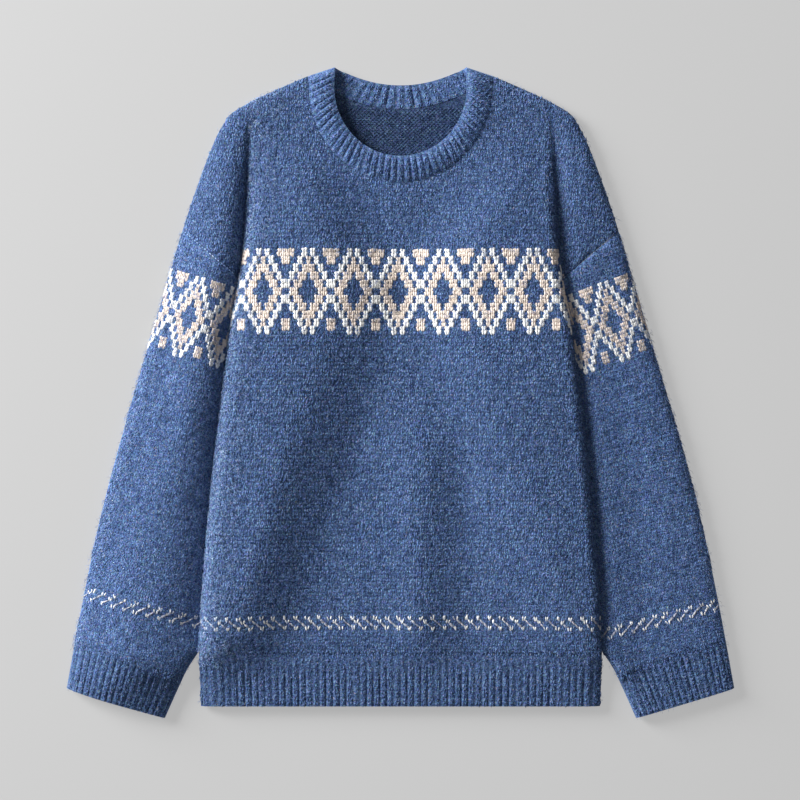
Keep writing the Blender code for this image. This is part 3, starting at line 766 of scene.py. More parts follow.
def back_surface(x, up):
    """The back's under face: flat on the surface but for shallow folds, rolled up at its edges."""
    away, edge = np.abs(x), body_edge(up)
    turn = np.clip((away - edge + LIP) / LIP, 0, 1)
    low = back_rim(up) * (1 - np.sqrt(1 - turn**2))
    rolled = (MIDDLE - SEAM / 2) * (1 - rolled_over(inside_outline(away, up))[1])
    folds = np.minimum(soft_folds(x, up, BACK_FOLDS), DEEPEST) * ease((edge - away) / 0.04)
    return np.where(up > ARMPIT_UP, rolled, low) + folds


def add_panel(panel, height, material, thickness):
    """A body panel as a sheet over its whole grid, mirrored to the -X side."""
    xs, ups = panel_plan(panel)
    xs = np.concatenate([-xs[:, :0:-1], xs], 1)
    ups = np.concatenate([ups[:, :0:-1], ups], 1)
    points = placed(xs, ups, height(xs, np.nan_to_num(ups, nan=ARMPIT_UP)))
    there = ~np.isnan(xs)
    whole = there[:-1, :-1] & there[1:, :-1] & there[:-1, 1:] & there[1:, 1:]
    used, faces = np.unique(grid_faces(*xs.shape, keep=whole), return_inverse=True)
    faces = faces.reshape(-1, 4)
    if panel == "back":
        faces = faces[:, ::-1]
    points = points.reshape(-1, 3)[used]
    return thicken(add_piece(f"{panel}_cloth", points, faces, material, "knit", panel), thickness)


# the front sheet is in the darkened ground yarn, painted shade that shows between its stitches
front = add_panel("front", front_surface, GROUND_SHADE_YARN, SHELL)
back = add_panel("back", back_surface, BLUE_YARN, BACK_SHELL)
print(f"front {len(front.data.polygons)} cells, back {len(back.data.polygons)} cells")

# %% [markdown]
# ## Sleeves
# A sleeve is a tube that lies flat: two layers that meet in a rounded fold at each side. Each row of
# the grid is one ring round the tube. The rings are drawn as a flattened round, whose ends are quarter
# ellipses, because knit never folds to a sharp edge.

# %% Plan and surface of a sleeve
EDGE_SLANT = math.radians(14.5)  # the sleeve's middle leans this much from upright


def edge_point(edge, up):
    """Plan point of an edge at this height."""
    return np.stack([edge(up), up], -1)


def sleeve_line(along, share):
    """Plan point on a sleeve: along from the armhole to the cuff rib, share from the outer edge in."""
    start = edge_point(sleeve_outer, mix(SHOULDER_SEAM[1] - SEAM, CUFF_RIB_OUTER_UP, along))
    end = edge_point(sleeve_inner, mix(ARMPIT_UP - SEAM, CUFF_RIB_INNER_UP, along))
    point = start + (end - start) * share[..., None]
    bend_at = (start[..., 0] - body_edge(ARMPIT_UP)) / (start[..., 0] - end[..., 0])
    peak = np.where(share < bend_at, share / bend_at, (1 - share) / (1 - bend_at))
    straight_up = mix(SHOULDER_SEAM[1], ARMPIT_UP, bend_at)
    dip = (straight_up - ARMPIT_UP) * np.maximum(1 - along * 4, 0.0) ** 1.5
    point[..., 1] -= dip * np.maximum(peak, 0)
    return point, np.linalg.norm(end - start, axis=-1)


def fullness(depth, width):
    """Share of a tube's half height at this distance from its outer edge."""
    return rolled_over(np.minimum(depth, width - depth))[1]


def sleeve_surface(x, up, side):
    """The upper face of a sleeve, drawn on the +X side, full and pressed down beside the body."""
    outer, width = sleeve_outer(up) - x, sleeve_outer(up) - sleeve_inner(up)
    full = fullness(outer * math.cos(EDGE_SLANT), width * math.cos(EDGE_SLANT))
    swell = puff(x, up, side) - valley(x, up, side) + bridge(x, up, side) - sleeve_lift(x, up)
    return sleeve_lift(x, up) + MIDDLE * (1 + full) + swell * full


print(f"right sleeve {float(sleeve_surface(0.25, 0.25, 1)) / MM:.1f} mm high")

# %% Make the sleeves
SLEEVE_RINGS, SLEEVE_ACROSS, FOLD_POINTS = 64, 40, 8
SLEEVE_WALL = 1.5 * MM
SIDES = (("left", -1), ("right", 1))


def across_tube(width):
    """Distances from the outer edge, closer together in the rounded folds."""
    rounds = ROLL * (1 - np.cos(np.linspace(0, math.pi / 2, FOLD_POINTS)))
    middle = np.linspace(0, 1, SLEEVE_ACROSS - 2 * FOLD_POINTS + 2)[1:-1]
    width = width[:, None]
    left = np.broadcast_to(rounds, (len(width), FOLD_POINTS))
    return np.concatenate([left, ROLL + (width - 2 * ROLL) * middle, width - left[:, ::-1]], 1)


def add_sleeve(side_name, sign):
    """A sleeve as closed rings of points, each over its upper and then its lower layer."""
    along = np.linspace(0, 1, SLEEVE_RINGS + 1)
    width = sleeve_line(along, np.zeros_like(along))[1]
    depth = across_tube(width)
    width = width[:, None]
    plan, _ = sleeve_line(along[:, None] + 0 * depth, depth / width)
    x, up = plan[..., 0], plan[..., 1]
    upper = placed(sign * x, up, sleeve_surface(x, up, sign))
    lower = placed(sign * x, up, sleeve_lift(x, up) + MIDDLE - MIDDLE * fullness(depth, width))
    rings = np.concatenate([upper, lower[:, -2:0:-1]], 1)
    faces = grid_faces(*rings.shape[:2], closed=True)[:, ::sign]
    node = f"sleeve_{side_name}"
    piece = add_piece(f"{node}_cloth", rings.reshape(-1, 3), faces, BLUE_YARN, "knit", node)
    return thicken(piece, SLEEVE_WALL)


sleeves = {side_name: add_sleeve(side_name, sign) for side_name, sign in SIDES}
print(f"each sleeve {len(sleeves['left'].data.polygons)} cells")

# %% [markdown]
# ## Ribs
# A one-by-one rib is a row of raised columns of knit stitches with sunken columns between them. It is
# real relief, as high as the yarn is thick, so it is modelled and not painted. One function gives the
# height of the rib at any place across it, and hem, cuffs and neckband use it with their own counts.

# %% Rib profile and a closed rib wall
RIB_STEPS = 6  # grid columns for one rib
RIB_HEIGHT = 0.6 * MM


def rib(place):
    """Height of the rib at a place counted in ribs: broad round ridges and narrow furrows."""
    from_furrow = np.abs((place % 1) - 0.5)
    depth = 1.4 + 0.35 * np.sin(7.3 * np.floor(place)) + 0.25 * np.sin(2.1 * np.floor(place))
    return RIB_HEIGHT * (0.8 - depth * np.exp(-((from_furrow / 0.12) ** 2)))


def add_wall(name, outer, inner, node, closed=False, material=RIB_SHADE_YARN):
    """A wall with thickness between two grids of points, its ends closed."""
    rows, columns = outer.shape[:2]
    faces = grid_faces(rows, columns, closed=closed)
    count = rows * columns
    index = np.arange(count).reshape(rows, columns)
    walls = [faces, faces[:, ::-1] + count]
    edges = [(index[0], 1), (index[-1], -1)]
    if not closed:
        edges += [(index[:, 0], -1), (index[:, -1], 1)]
    for line, way in edges:
        line = np.append(line, line[0]) if closed else line
        a, b = (line[:-1], line[1:])[::way]
        walls.append(np.stack([b, a, a + count, b + count], -1))
    points = np.concatenate([outer.reshape(-1, 3), inner.reshape(-1, 3)])
    piece = add_piece(name, points, np.concatenate(walls), material, "rib", node)
    piece.data.set_sharp_from_angle(angle=math.radians(60))
    return piece


print(f"a rib is {(rib(0) - rib(0.5)) / MM:.1f} mm high from furrow to ridge")

# %% [markdown]
# ## Hem
# The hem is a tube as well, so it has a front and a back half that meet at the sides. Both halves
# carry ribs. Those of the back half are pressed against the surface, so only their furrows are cut in.

# %% Make the hem
HEM_RIBS = round(2 * float(body_edge(HEM_RIB)) / RIB_PITCH)
HEM_ROWS = 9
HEM_BEND = 1.15 * LIP  # length of cloth in the rounded side
SHALLOWER = 22 * MM  # the ribs fade out over this length below the seam


def hem_half(panel):
    """Outer and inner points of one half of the hem, from the left side fold to the right one."""
    share = np.linspace(-1, 1, HEM_RIBS * RIB_STEPS + 1)
    up = np.linspace(0, HEM_RIB, HEM_ROWS + 1)[:, None]
    start = body_edge(up) - LIP
    place = np.abs(share) * (start + HEM_BEND)
    turn = np.clip((place - start) / HEM_BEND, 0, 1) * math.pi / 2
    away, flat = np.minimum(place, start) + LIP * np.sin(turn), np.cos(turn)
    rib_place = (share + 1) / 2 * HEM_RIBS
    if panel == "front":
        rim = side_rim(up)
        top = front_height(np.sign(share) * np.minimum(away, start), up)
        ribs = rib(rib_place + 0.5) * ease((1 - np.abs(share)) * 30)
        ribs = ribs * mix(0.15, 1.0, ease((HEM_RIB - up) / SHALLOWER))
        outer_z = rim + (top - rim + ribs) * flat
        inner_z = rim + (top - CLOTH - rim) * flat
    else:
        rim = back_rim(up)
        outer_z = rim - (rim - rib(0) + rib(rib_place)) * flat
        inner_z = np.maximum(rim - np.maximum(rim - CLOTH, 0) * flat, CLOTH)
        inner_z = np.minimum(inner_z, MIDDLE - 0.15 * MM)
    inner_x = np.sign(share) * (away - CLOTH * np.sin(turn))
    return placed(np.sign(share) * away, up, outer_z), placed(inner_x, up, inner_z)


front_hem = hem_half("front")
hem_front = add_wall("hem_front_rib", *front_hem, "hem_front")
hem_back = add_wall("hem_back_rib", *(grid[:, ::-1] for grid in hem_half("back")), "hem_back")
print(f"hem: {HEM_RIBS} ribs, {len(hem_front.data.polygons)} and {len(hem_back.data.polygons)} cells")

# %% [markdown]
# ## Cuffs
# A cuff is the ribbed end of the sleeve's tube. Its ribs run along the sleeve, so they keep square to
# the slanted end.

# %% Make the cuffs
CUFF_RIBS = 17
CUFF_ROWS = 8


def cuff_grids(sign):
    """Outer and inner points of a cuff, as rings from the sleeve to the free end."""
    along = np.linspace(0, 1, CUFF_ROWS + 1)[:, None]
    start = edge_point(sleeve_outer, mix(CUFF_RIB_OUTER_UP - SEAM, CUFF_OUTER_UP, along))
    end = edge_point(sleeve_inner, mix(CUFF_RIB_INNER_UP - SEAM, CUFF_INNER_UP, along))
    width = np.linalg.norm(end - start, axis=-1)
    top = np.linspace(0, 1, CUFF_RIBS * RIB_STEPS + 1)
    share = np.concatenate([top, top[-2:0:-1]])
    layer = np.where(np.arange(len(share)) < len(top), 1, -1)  # the upper one, and then the lower
    plan, depth = start + (end - start) * share[:, None], share * width
    full = fullness(depth, width)
    ribs = rib(share * CUFF_RIBS + 0.5)
    ribs = np.where(layer > 0, ribs, rib(0) - ribs) * full
    inward = np.where(depth < width / 2, 1, -1) * CLOTH
    inward = inward * rolled_over(np.minimum(depth, width - depth))[0]
    inner_plan = plan + (end - start) / width[..., None] * inward[..., None]
    dome = puff(plan[..., 0], plan[..., 1], sign) * full * (layer > 0)
    outer_z = MIDDLE + layer * MIDDLE * full + ribs + dome
    inner_z = MIDDLE + layer * (MIDDLE - CLOTH) * full + dome
    outer = placed(sign * plan[..., 0], plan[..., 1], outer_z)
    return outer, placed(sign * inner_plan[..., 0], inner_plan[..., 1], inner_z)


def add_cuff(side_name, sign):
    """A ribbed cuff at the end of one sleeve."""
    outer, inner = (grid[:, ::sign] for grid in cuff_grids(sign))
    node = f"cuff_{side_name}"
    return add_wall(f"{node}_rib", outer, inner, node, closed=True)


cuffs = {side_name: add_cuff(side_name, sign) for side_name, sign in SIDES}
print(f"each cuff {len(cuffs['left'].data.polygons)} cells")

# %% [markdown]
# ## Neckband
# The neckband is a ring of rib, picked up along the neck seam. Its front half lies on top and its back
# half lies on the surface, with the ribs of its inside face showing through the neck. Spokes from the
# seam to the free edge carry the points, and the ribs are counted along the seam.

# %% Make the neckband
BAND_RIBS = {"front": 42, "back": 20}  # over both sides
BAND_ROWS = 10
BAND_CROWN = 3.4 * MM  # the front of the band is rounded by this much


def unit(vectors):
    """Directions of length 1."""
    return vectors / np.linalg.norm(vectors, axis=-1, keepdims=True)


def band_half(panel):
    """Outer and inner points of the band's front or back, from the left shoulder to the right one."""
    count = BAND_RIBS[panel] * RIB_STEPS // 2
    if panel == "front":
        seam = front_scoop(FRONT_NECK, NECK_SEAM_POINT, count)
        free = front_scoop(FREE_NECK, NECK_POINT, count)
    else:
        seam = back_scoop(BACK_NECK_UP, NECK_SEAM_POINT, count)
        free = back_scoop(BACK_FREE_UP, NECK_POINT, count)
    across = np.linspace(0, 1, BAND_ROWS + 1)[:, None]
    toward = unit(free - seam)
    plan = mix(seam + toward * SEAM, free, across[..., None])
    x, up = plan[..., 0], plan[..., 1]
    sine, flat = rolled_over(inside_outline(x, up))
    raised = rib(np.arange(count + 1) / RIB_STEPS) * ease(np.minimum(across, 1 - across) * 8)
    crown = BAND_CROWN * np.sin(2.3 * across)
    if panel == "front":
        outer_z = MIDDLE + (MIDDLE + raised + crown) * flat
        inner_z = MIDDLE + (MIDDLE - CLOTH + 0.8 * crown) * flat
    else:
        outer_z = MIDDLE - MIDDLE * flat
        inner_z = MIDDLE - (MIDDLE - CLOTH - raised) * flat
    inner_x, inner_up = x - 0.35 * CLOTH * sine, up - 0.94 * CLOTH * sine
    grids = (placed(x, up, outer_z), placed(inner_x, inner_up, inner_z))
    return [np.concatenate([grid[:, :0:-1] * (-1, 1, 1), grid], 1) for grid in grids]


front_band, back_band = band_half("front"), band_half("back")
band_rings = [np.concatenate([f, b[:, -2:0:-1]], 1) for f, b in zip(front_band, back_band)]
neckband = add_wall("neckband_rib", *band_rings, "neckband", closed=True, material=BAND_SHADE_YARN)
print(f"neckband {len(neckband.data.polygons)} cells")

# %% [markdown]
# ## Stitches
# A knit stitch shows as a small V: two legs of yarn that come out of the stitch below and lean apart.
# Every leg is a closed spindle with a ring of corners or two, which is enough at this size. All stitches
# of one yarn are joined to one mesh with array operations, since a loop over forty thousand legs
# would be slow.

# %% Spindles of yarn
def spindles(starts, ends, tops, half_width, stations, bow=None, corners=4):
    """Closed thin bodies from starts to ends, with a ring at each station (share, fullness)."""
    along = ends - starts
    sides = np.cross(tops, along)
    sides *= (np.asarray(half_width) / np.linalg.norm(sides, axis=1))[:, None]
    turn = 2 * np.pi * np.arange(corners) / corners
    ring = sides[:, None] * np.cos(turn)[:, None] + tops[:, None] * np.sin(turn)[:, None]
    parts = [starts[:, None]]
    for share, full in stations:
        middle = starts + along * share
        if bow is not None:
            middle = middle + bow * 4 * share * (1 - share)
        parts.append(middle[:, None] + ring * full)
    parts.append(ends[:, None])
    points = np.concatenate(parts, 1)
    this, after = np.arange(corners), (np.arange(corners) + 1) % corners
    faces = [np.stack([0 * this, 1 + after, 1 + this], 1)]
    for low in range(1, 1 + (len(stations) - 1) * corners, corners):
        high = low + corners
        faces.append(np.stack([low + this, low + after, high + after], 1))
        faces.append(np.stack([low + this, high + after, high + this], 1))
    last = 1 + (len(stations) - 1) * corners
    faces.append(np.stack([last + this, last + after, 0 * this + last + corners], 1))
    faces = np.concatenate(faces) + (np.arange(len(starts)) * points.shape[1])[:, None, None]
    return points.reshape(-1, 3), faces.reshape(-1, 3)

# %% Places of many stitches
FLIP = np.array([-1.0, 1.0, 1.0])


class Stitches:
    """Many stitches, with the same kind of facts about each. A single number holds for all."""

    def __init__(self, centre, across, normal, width, height, column=0, course=0):
        self.centre = centre
        self.across, self.normal = (np.broadcast_to(way, centre.shape) for way in (across, normal))
        counts = [np.broadcast_to(fact, len(centre)) for fact in (width, height, column, course)]
        self.width, self.height, self.column, self.course = counts

    def __len__(self):
        return len(self.centre)

    def pick(self, chosen):
        """Those of the stitches that a mask or a list of numbers chooses."""
        return Stitches(*(fact[chosen] for fact in vars(self).values()))

    def mirrored(self):
        """The same stitches on the other side of the garment."""
        ways = self.centre * FLIP, -self.across * FLIP, self.normal * FLIP
        return Stitches(*ways, self.width, self.height, self.column, self.course)

    def plan(self):
        """Plan places, x and up."""
        return self.centre[:, 0], self.centre[:, 1] - HEM_LINE

    def upward(self):
        """Directions along the wales."""
        return np.cross(self.normal, self.across)


def joined(groups):
    """Several groups of stitches as one, in their order."""
    return Stitches(*map(np.concatenate, zip(*(vars(group).values() for group in groups))))

# %% Two legs for every stitch
FINE, PLAIN = ((0.28, 0.95), (0.68, 1.0)), ((0.5, 1.0),)
TOOTH = ((0.34, 0.72), (0.80, 1.0))  # pointed below, broad above


def add_stitches(
    name,
    stitches,
    material,
    slot_name,
    stations,
    seed,
    thick=0.38 * MM,
    spread=0.34,
    uneven=0.20,
    reach=(0.90, 0.78),
    girth=(0.20, 0.30),
):
    """A piece with the two legs of every stitch, each a little uneven.

    Spread, unevenness, reach (of foot and head) and girth are shares of a stitch.
    """
    rng = np.random.default_rng(seed)
    width, height = stitches.width[:, None], stitches.height[:, None]
    sideways, upward = width * stitches.across, height * stitches.upward()
    starts, ends = [], []
    for side in (-1, 1):
        shift = rng.normal(0, uneven, (4, len(stitches), 1))
        foot = (0.07 * side + shift[0]) * sideways - (reach[0] + shift[1]) * upward
        head = (spread * side + shift[2]) * sideways + (reach[1] + shift[3]) * upward
        starts.append(stitches.centre + foot - 0.45 * thick * stitches.normal)
        ends.append(stitches.centre + head - 0.30 * thick * stitches.normal)
    starts, ends = np.concatenate(starts), np.concatenate(ends)
    normals = np.concatenate([stitches.normal] * 2) * thick
    tops = normals * rng.uniform(0.75, 1.15, (len(normals), 1))
    half = np.concatenate([stitches.width] * 2) * rng.uniform(*girth, len(normals))
    legs = spindles(starts, ends, tops, half, stations, 0.35 * normals)
    add_piece(name, *legs, material, slot_name)

# %% [markdown]
# ## The colourwork chart
# The band is a diamond that repeats every eleven stitches over twenty-two courses, drawn two courses to
# a chart row. The distance from the diamond's centre, counted in steps along rows and columns, tells
# which yarn a stitch has: a peach ring round a blue heart, then a row of single white stitches, and a
# small peach triangle above and heart below where two diamonds meet.

# %% Charts for the band and the stripe
REPEAT, BAND_COURSES, STRIPE_COURSES = 11, 22, 4
BLUE, WHITE, PEACH = 0, 1, 2


def band_chart(column, course):
    """Yarn of each stitch of the diamond band, with course 0 at its top."""
    column = np.abs((column + REPEAT // 2) % REPEAT - REPEAT // 2)
    row = course // 2
    steps = column + np.abs(row - 5)
    ring = (steps == 3) | (steps == 4)
    triangle = (row <= 1) & (steps >= 9)
    heart = (column == 5) & (course >= 18) & (course <= 20)
    inside = (course >= 0) & (course < BAND_COURSES)
    yarns = np.where(steps == 6, WHITE, np.where(ring | triangle | heart, PEACH, BLUE))
    return np.where(inside, yarns, BLUE)


def stripe_chart(column, course):
    """Yarn of each stitch of the stripe: short slanted strokes, light at both ends."""
    inside = (course >= 0) & (course < STRIPE_COURSES) & ((column - course) % 3 == 0)
    middle = (course == 2) | ((course == 1) & (column % 2 == 0))
    return np.where(inside, np.where(middle, PEACH, WHITE), BLUE)


for course in range(0, BAND_COURSES, 2):
    print("".join(".OX"[band_chart(np.array(column), np.array(course))] for column in range(-5, 17)))

# %% [markdown]
# ## Stitches of the body
# A course is laid along the real surface, so stitches keep their width where the cloth dips into a fold
# or rolls down at the side. Near the ribbed hem the knit draws in a little.

# %% Laying a course
def normals_on(surface, x, up):
    """Directions square to a surface, from its slopes."""
    step = 0.5 * MM
    slope_x = (surface(x + step, up) - surface(x - step, up)) / (2 * step)
    slope_up = (surface(x, up + step) - surface(x, up - step)) / (2 * step)
    return unit(np.stack([-slope_x, -slope_up, np.ones_like(slope_x)], -1))


def lay_course(line, surface, width, height, origin, number):
    """Stitches along one plan line on a surface, spaced by length from where x is origin."""
    x, up = line
    path = placed(x, up, surface(x, up))
    lengths = lengths_along(path)
    zero = np.interp(origin, x, lengths)
    column = np.arange(math.ceil(-zero / width), math.floor((lengths[-1] - zero) / width) + 1)
    at, side = zero + column * width, 0.4 * width
    before, centre, after = (points_along(path, lengths, spot) for spot in (at - side, at, at + side))
    across = unit(after - before)
    normal = normals_on(surface, centre[:, 0], centre[:, 1] - HEM_LINE)
    normal = unit(normal - across * (normal * across).sum(-1, keepdims=True))
    return Stitches(centre, across, normal, width, height, column, number)


def course_ups(start, stop, height_at):
    """Heights of courses from start towards stop."""
    ups, up, way = [], start, 1 if stop > start else -1
    while (stop - up) * way > 0:
        ups.append(up)
        up += way * height_at(up)
    return ups


print(f"{len(course_ups(0, 100 * MM, lambda up: BODY_COURSE))} courses to 100 mm")

# %% Courses of the body
BODY_CENTRE = -2 * MM  # x of the middle diamond's centre
BAND_TOP, STRIPE_TOP, TOP_UP = 0.4565, 0.0890, 0.634
RAGGED = 13 * MM  # the brushed knit hides the top of the ribs unevenly, over this much
SEAM_CLEAR = 3.4 * MM  # no stitch stands nearer to an armhole seam
NEAR = 1 * MM


def body_course_height(up):
    """Height of a course, a little less near the hem."""
    return float(np.interp(up, (0.09, 0.14), (3.3 * MM, BODY_COURSE)))


def on_front(stitches):
    """Whether stitches lie on the front panel, clear of its seams and of the neck."""
    x, up = stitches.plan()
    x = np.abs(x)
    inside = (x < sleeve_outer(up)) & (up < shoulder_up(x)) & (inside_outline(x, up) > 0.5 * MM)
    inside |= up < ARMPIT_UP
    above_seam = (x < body_edge(up) + NEAR) | (up > seam_up(x) + SEAM_CLEAR)
    half_width, depth = FRONT_NECK["half_width"] + NEAR, FRONT_NECK["depth"] + NEAR
    below = FRONT_NECK["centre_up"] - up
    off_neck = ((x / half_width) ** 2 + (below / depth) ** 2 > 1) & ((below > 0) | (x > half_width))
    return inside & above_seam & off_neck


upper = course_ups(BAND_TOP + BODY_COURSE / 2, TOP_UP, body_course_height)
lower = course_ups(BAND_TOP - BODY_COURSE / 2, HEM_RIB - RAGGED, body_course_height)
courses = [*zip(range(-1, -len(upper) - 1, -1), upper), *enumerate(lower)]
rows = []
for number, up in courses:
    reach = float(body_edge(up) if up < ARMPIT_UP else sleeve_outer(up))
    x = np.linspace(-reach, reach, 1400)
    width = float(np.interp(up, (0.08, 0.20), (3.8 * MM, BODY_STITCH)))
    height = body_course_height(up)
    rows.append(lay_course((x, 0 * x + up), front_surface, width, height, BODY_CENTRE, number))
body = joined(rows)
below_seam = HEM_RIB - body.plan()[1]
body = body.pick(on_front(body) & (np.random.default_rng(8).random(len(body)) > below_seam / RAGGED))
print(f"body: {len(courses)} courses, {len(body)} stitches")

# %% Colours of the body's stitches
first_stripe = next(number for number, up in enumerate(lower) if up < STRIPE_TOP)
in_band, in_stripe = body.course, body.course - first_stripe
body_yarn = np.maximum(band_chart(body.column, in_band), stripe_chart(body.column, in_stripe))
body_x, body_up = body.plan()
body_yarn = np.where(np.abs(body_x) > body_edge(body_up) + NEAR, BLUE, body_yarn)  # beyond a fold
low = body.course >= BAND_COURSES
blue_low, blue_top = (body.pick(part & (body_yarn == BLUE)) for part in (low, ~low))
add_stitches("body_stitches_low", blue_low, BLUE_YARN, "knit", PLAIN, 11)
add_stitches("body_stitches_high", blue_top, BLUE_YARN, "knit", PLAIN, 12)
print(f"body: {np.sum(body_yarn != BLUE)} light stitches")

# %% [markdown]
# ## Stitches of the sleeves
# The sleeves are knitted along their own slant: the wales run beside the outer edge and the courses
# square to it. So the band and the stripe tilt on the sleeves.

# %% Courses of the sleeves
LEAN = math.radians(14.4)  # the outer edge leans this much from upright
BAND_LEAN = {"left": math.radians(16.5), "right": math.radians(20)}  # pulled askew at the top
SLEEVE_BAND_AT = {"left": 40.2 * MM, "right": 43.8 * MM}  # along the outer edge from the armhole
SLEEVE_DIAMOND_IN = {"left": 32.1 * MM, "right": 30.0 * MM}  # a diamond's centre, in from the edge
SLEEVE_STRIPE_AT = {"left": 378 * MM, "right": 388.5 * MM}
COURSES_ABOVE = 12  # of the band, up to the armhole seam and a little more
LOOSER_FROM, LOOSER_STITCH, LOOSER_COURSE = 0.28, 4.0 * MM, 3.0 * MM  # near the cuff
SLEEVE_RAGGED = 8 * MM
edge_ups = np.linspace(SHOULDER_SEAM[1] + 0.05, 0.04, 240)
edge_path = edge_point(sleeve_outer, edge_ups)
edge_length = lengths_along(edge_path)
edge_length -= np.interp(-SHOULDER_SEAM[1], -edge_ups, edge_length)


def inward_way(side_name, at):
    """Direction of a course from the outer edge in, this far along that edge."""
    lean = mix(BAND_LEAN[side_name], LEAN, float(ease((at - 0.03) / 0.25)))
    return np.array([-math.cos(lean), -math.sin(lean)])


def cuff_line_up(x):
    """Height of the cuff's seam."""
    inner_x, outer_x = float(sleeve_inner(CUFF_RIB_INNER_UP)), float(sleeve_outer(CUFF_RIB_OUTER_UP))
    return mix(CUFF_RIB_INNER_UP, CUFF_RIB_OUTER_UP, (x - inner_x) / (outer_x - inner_x))


def sleeve_stitches(side_name, sign):
    """The stitches of a sleeve's visible upper layer, on the +X side, and its stripe's first course."""
    rows = []
    surface = functools.partial(sleeve_surface, side=sign)
    number, at = -COURSES_ABOVE, SLEEVE_BAND_AT[side_name] - (COURSES_ABOVE - 0.5) * SLEEVE_COURSE
    while at < edge_length[-1]:
        edge = points_along(edge_path, edge_length, at)
        way = inward_way(side_name, at)
        line = (edge + way * np.linspace(0.170, 0.0, 900)[:, None]).T
        origin = edge[0] + way[0] * SLEEVE_DIAMOND_IN[side_name]
        looser = float(ease((at - LOOSER_FROM) / 0.08))
        width = mix(SLEEVE_STITCH, LOOSER_STITCH, looser)
        height = mix(SLEEVE_COURSE, LOOSER_COURSE, looser)
        rows.append(lay_course(line, surface, width, height, origin, number))
        if at < SLEEVE_STRIPE_AT[side_name] - 1.5 * LOOSER_COURSE:
            stripe = number
        number, at = number + 1, at + height
    stitches = joined(rows)
    x, up = stitches.plan()
    beyond = (cuff_line_up(x) - up) / SLEEVE_RAGGED
    shown = (up < seam_up(x) - SEAM_CLEAR) & (np.random.default_rng(9).random(len(x)) > beyond)
    shown &= (x > body_edge(up) - 2 * MM) & (x > sleeve_inner(up) + NEAR)
    return stitches.pick(shown), stripe


dressed = {}
for seed, (side_name, sign) in enumerate(SIDES, 13):
    stitches, stripe = sleeve_stitches(side_name, sign)
    in_stripe = stripe_chart(-sign * stitches.column, stitches.course - stripe)
    yarns = np.maximum(band_chart(stitches.column, stitches.course), in_stripe)
    stitches = stitches if sign > 0 else stitches.mirrored()
    dressed[side_name] = (stitches, yarns)
    plain = stitches.pick(yarns == BLUE)
    add_stitches(f"sleeve_{side_name}_stitches", plain, BLUE_YARN, "knit", PLAIN, seed)
    print(f"{side_name} sleeve: {len(stitches)} stitches")

# %% [markdown]
# ## Light yarns
# The white and the peach yarn are thicker and softer than the blue, so their stitches swell over their
# neighbours, the white ones most. They are pieces of their own, because another yarn is another
# material. In the stripe the light yarn shows as strokes: a float of yarn that runs over two stitches.

# %% Light stitches of the band
IN_BAND = {
    WHITE: dict(thick=1.1 * MM, spread=0.44, uneven=0.07, reach=(0.95, 0.96), girth=(0.44, 0.52)),
    PEACH: dict(thick=0.95 * MM, spread=0.38, uneven=0.08, reach=(0.84, 0.84), girth=(0.38, 0.46)),
}
knitted = [(body, body_yarn), *dressed.values()]


def in_colour(colours, in_band):
    """The stitches of these colours in the band, or else in the stripe, of the body and each sleeve."""
    groups = []
    for stitches, yarns in knitted:
        place = (stitches.course < BAND_COURSES) == in_band
        groups.append(stitches.pick(np.isin(yarns, colours) & place))
    return groups


for colour, name, material, seed in (
    (WHITE, "white", WHITE_YARN, 15),
    (PEACH, "peach", PEACH_YARN, 16),
):
    light = joined(in_colour([colour], True))
    add_stitches(f"{name}_band_stitches", light, material, "knit", TOOTH, seed, **IN_BAND[colour])
    print(f"{name}: {len(light)} stitches in the band")

# %% The speckled stripe
IN_STRIPE = dict(thick=0.9 * MM, spread=0.44, uneven=0.16, reach=(0.80, 1.05), girth=(0.18, 0.28))
ends = joined(in_colour([WHITE], False))
add_stitches("stripe_ends", ends, WHITE_YARN, "knit", FINE, 27, **IN_STRIPE)


def add_strokes(name, stitches, way, seed):
    """One long slanting leg for each stitch, down to the right if way is 1."""
    rng = np.random.default_rng(seed)
    size = (len(stitches), 1)
    reach = stitches.across * way * stitches.width[:, None] * rng.uniform(0.55, 0.85, size)
    reach = reach - stitches.upward() * stitches.height[:, None] * rng.uniform(0.60, 0.95, size)
    middle = stitches.centre + 0.1 * MM * stitches.normal
    half = stitches.width * rng.uniform(0.16, 0.36, len(stitches))
    strokes = spindles(middle - reach, middle + reach, stitches.normal * 0.8 * MM, half, FINE)
    add_piece(name, *strokes, MIST_YARN, "knit")


slanting = zip(("body", "left", "right"), in_colour([PEACH], False), (1, -1, -1), (31, 32, 33))
for place, stitches, way, seed in slanting:
    add_strokes(f"stripe_strokes_{place}", stitches, way, seed)
print(f"stripe: {len(ends)} light ends")

# %% [markdown]
# ## Armhole seams
# The sleeves are linked to the body with a chain of loops. On the side towards the light it stands up and
# is made in the pale highlight yarn, a painted highlight; on the other side it lies in its groove and is
# made in the darkened ground yarn, painted shade.

# %% Chains along the armholes
CHAIN_LOOP = 3.6 * MM
seam_x = np.linspace(float(body_edge(ARMPIT_UP)) + 4 * MM, SHOULDER_SEAM[0] - 1.5 * MM, 300)
seam_line = np.stack([seam_x, seam_up(seam_x) + 0.9 * MM])
left_line = seam_line[:, ::-1] * [[-1], [1]]
for side_name, line, lift, material in (
    ("right", seam_line, 0.35 * MM, GROUND_SHADE_YARN),  # sunken, in the darkened ground yarn: a painted line of shade
    ("left", left_line, 1.2 * MM, HIGHLIGHT_FIBRE),  # raised, in the pale highlight yarn: a painted line of highlight
):
    chain = lay_course(line, front_surface, CHAIN_LOOP, 2.6 * MM, line[0, 0], 0)
    reach, bow = 0.55 * CHAIN_LOOP * chain.across, 0.3 * MM * chain.normal
    ends = chain.centre - reach, chain.centre + reach
    loops = spindles(*ends, chain.normal * lift, 0.55 * MM, FINE, bow)
    add_piece(f"armhole_{side_name}_chain", *loops, material, "knit")
print(f"armholes: {len(chain)} loops each")

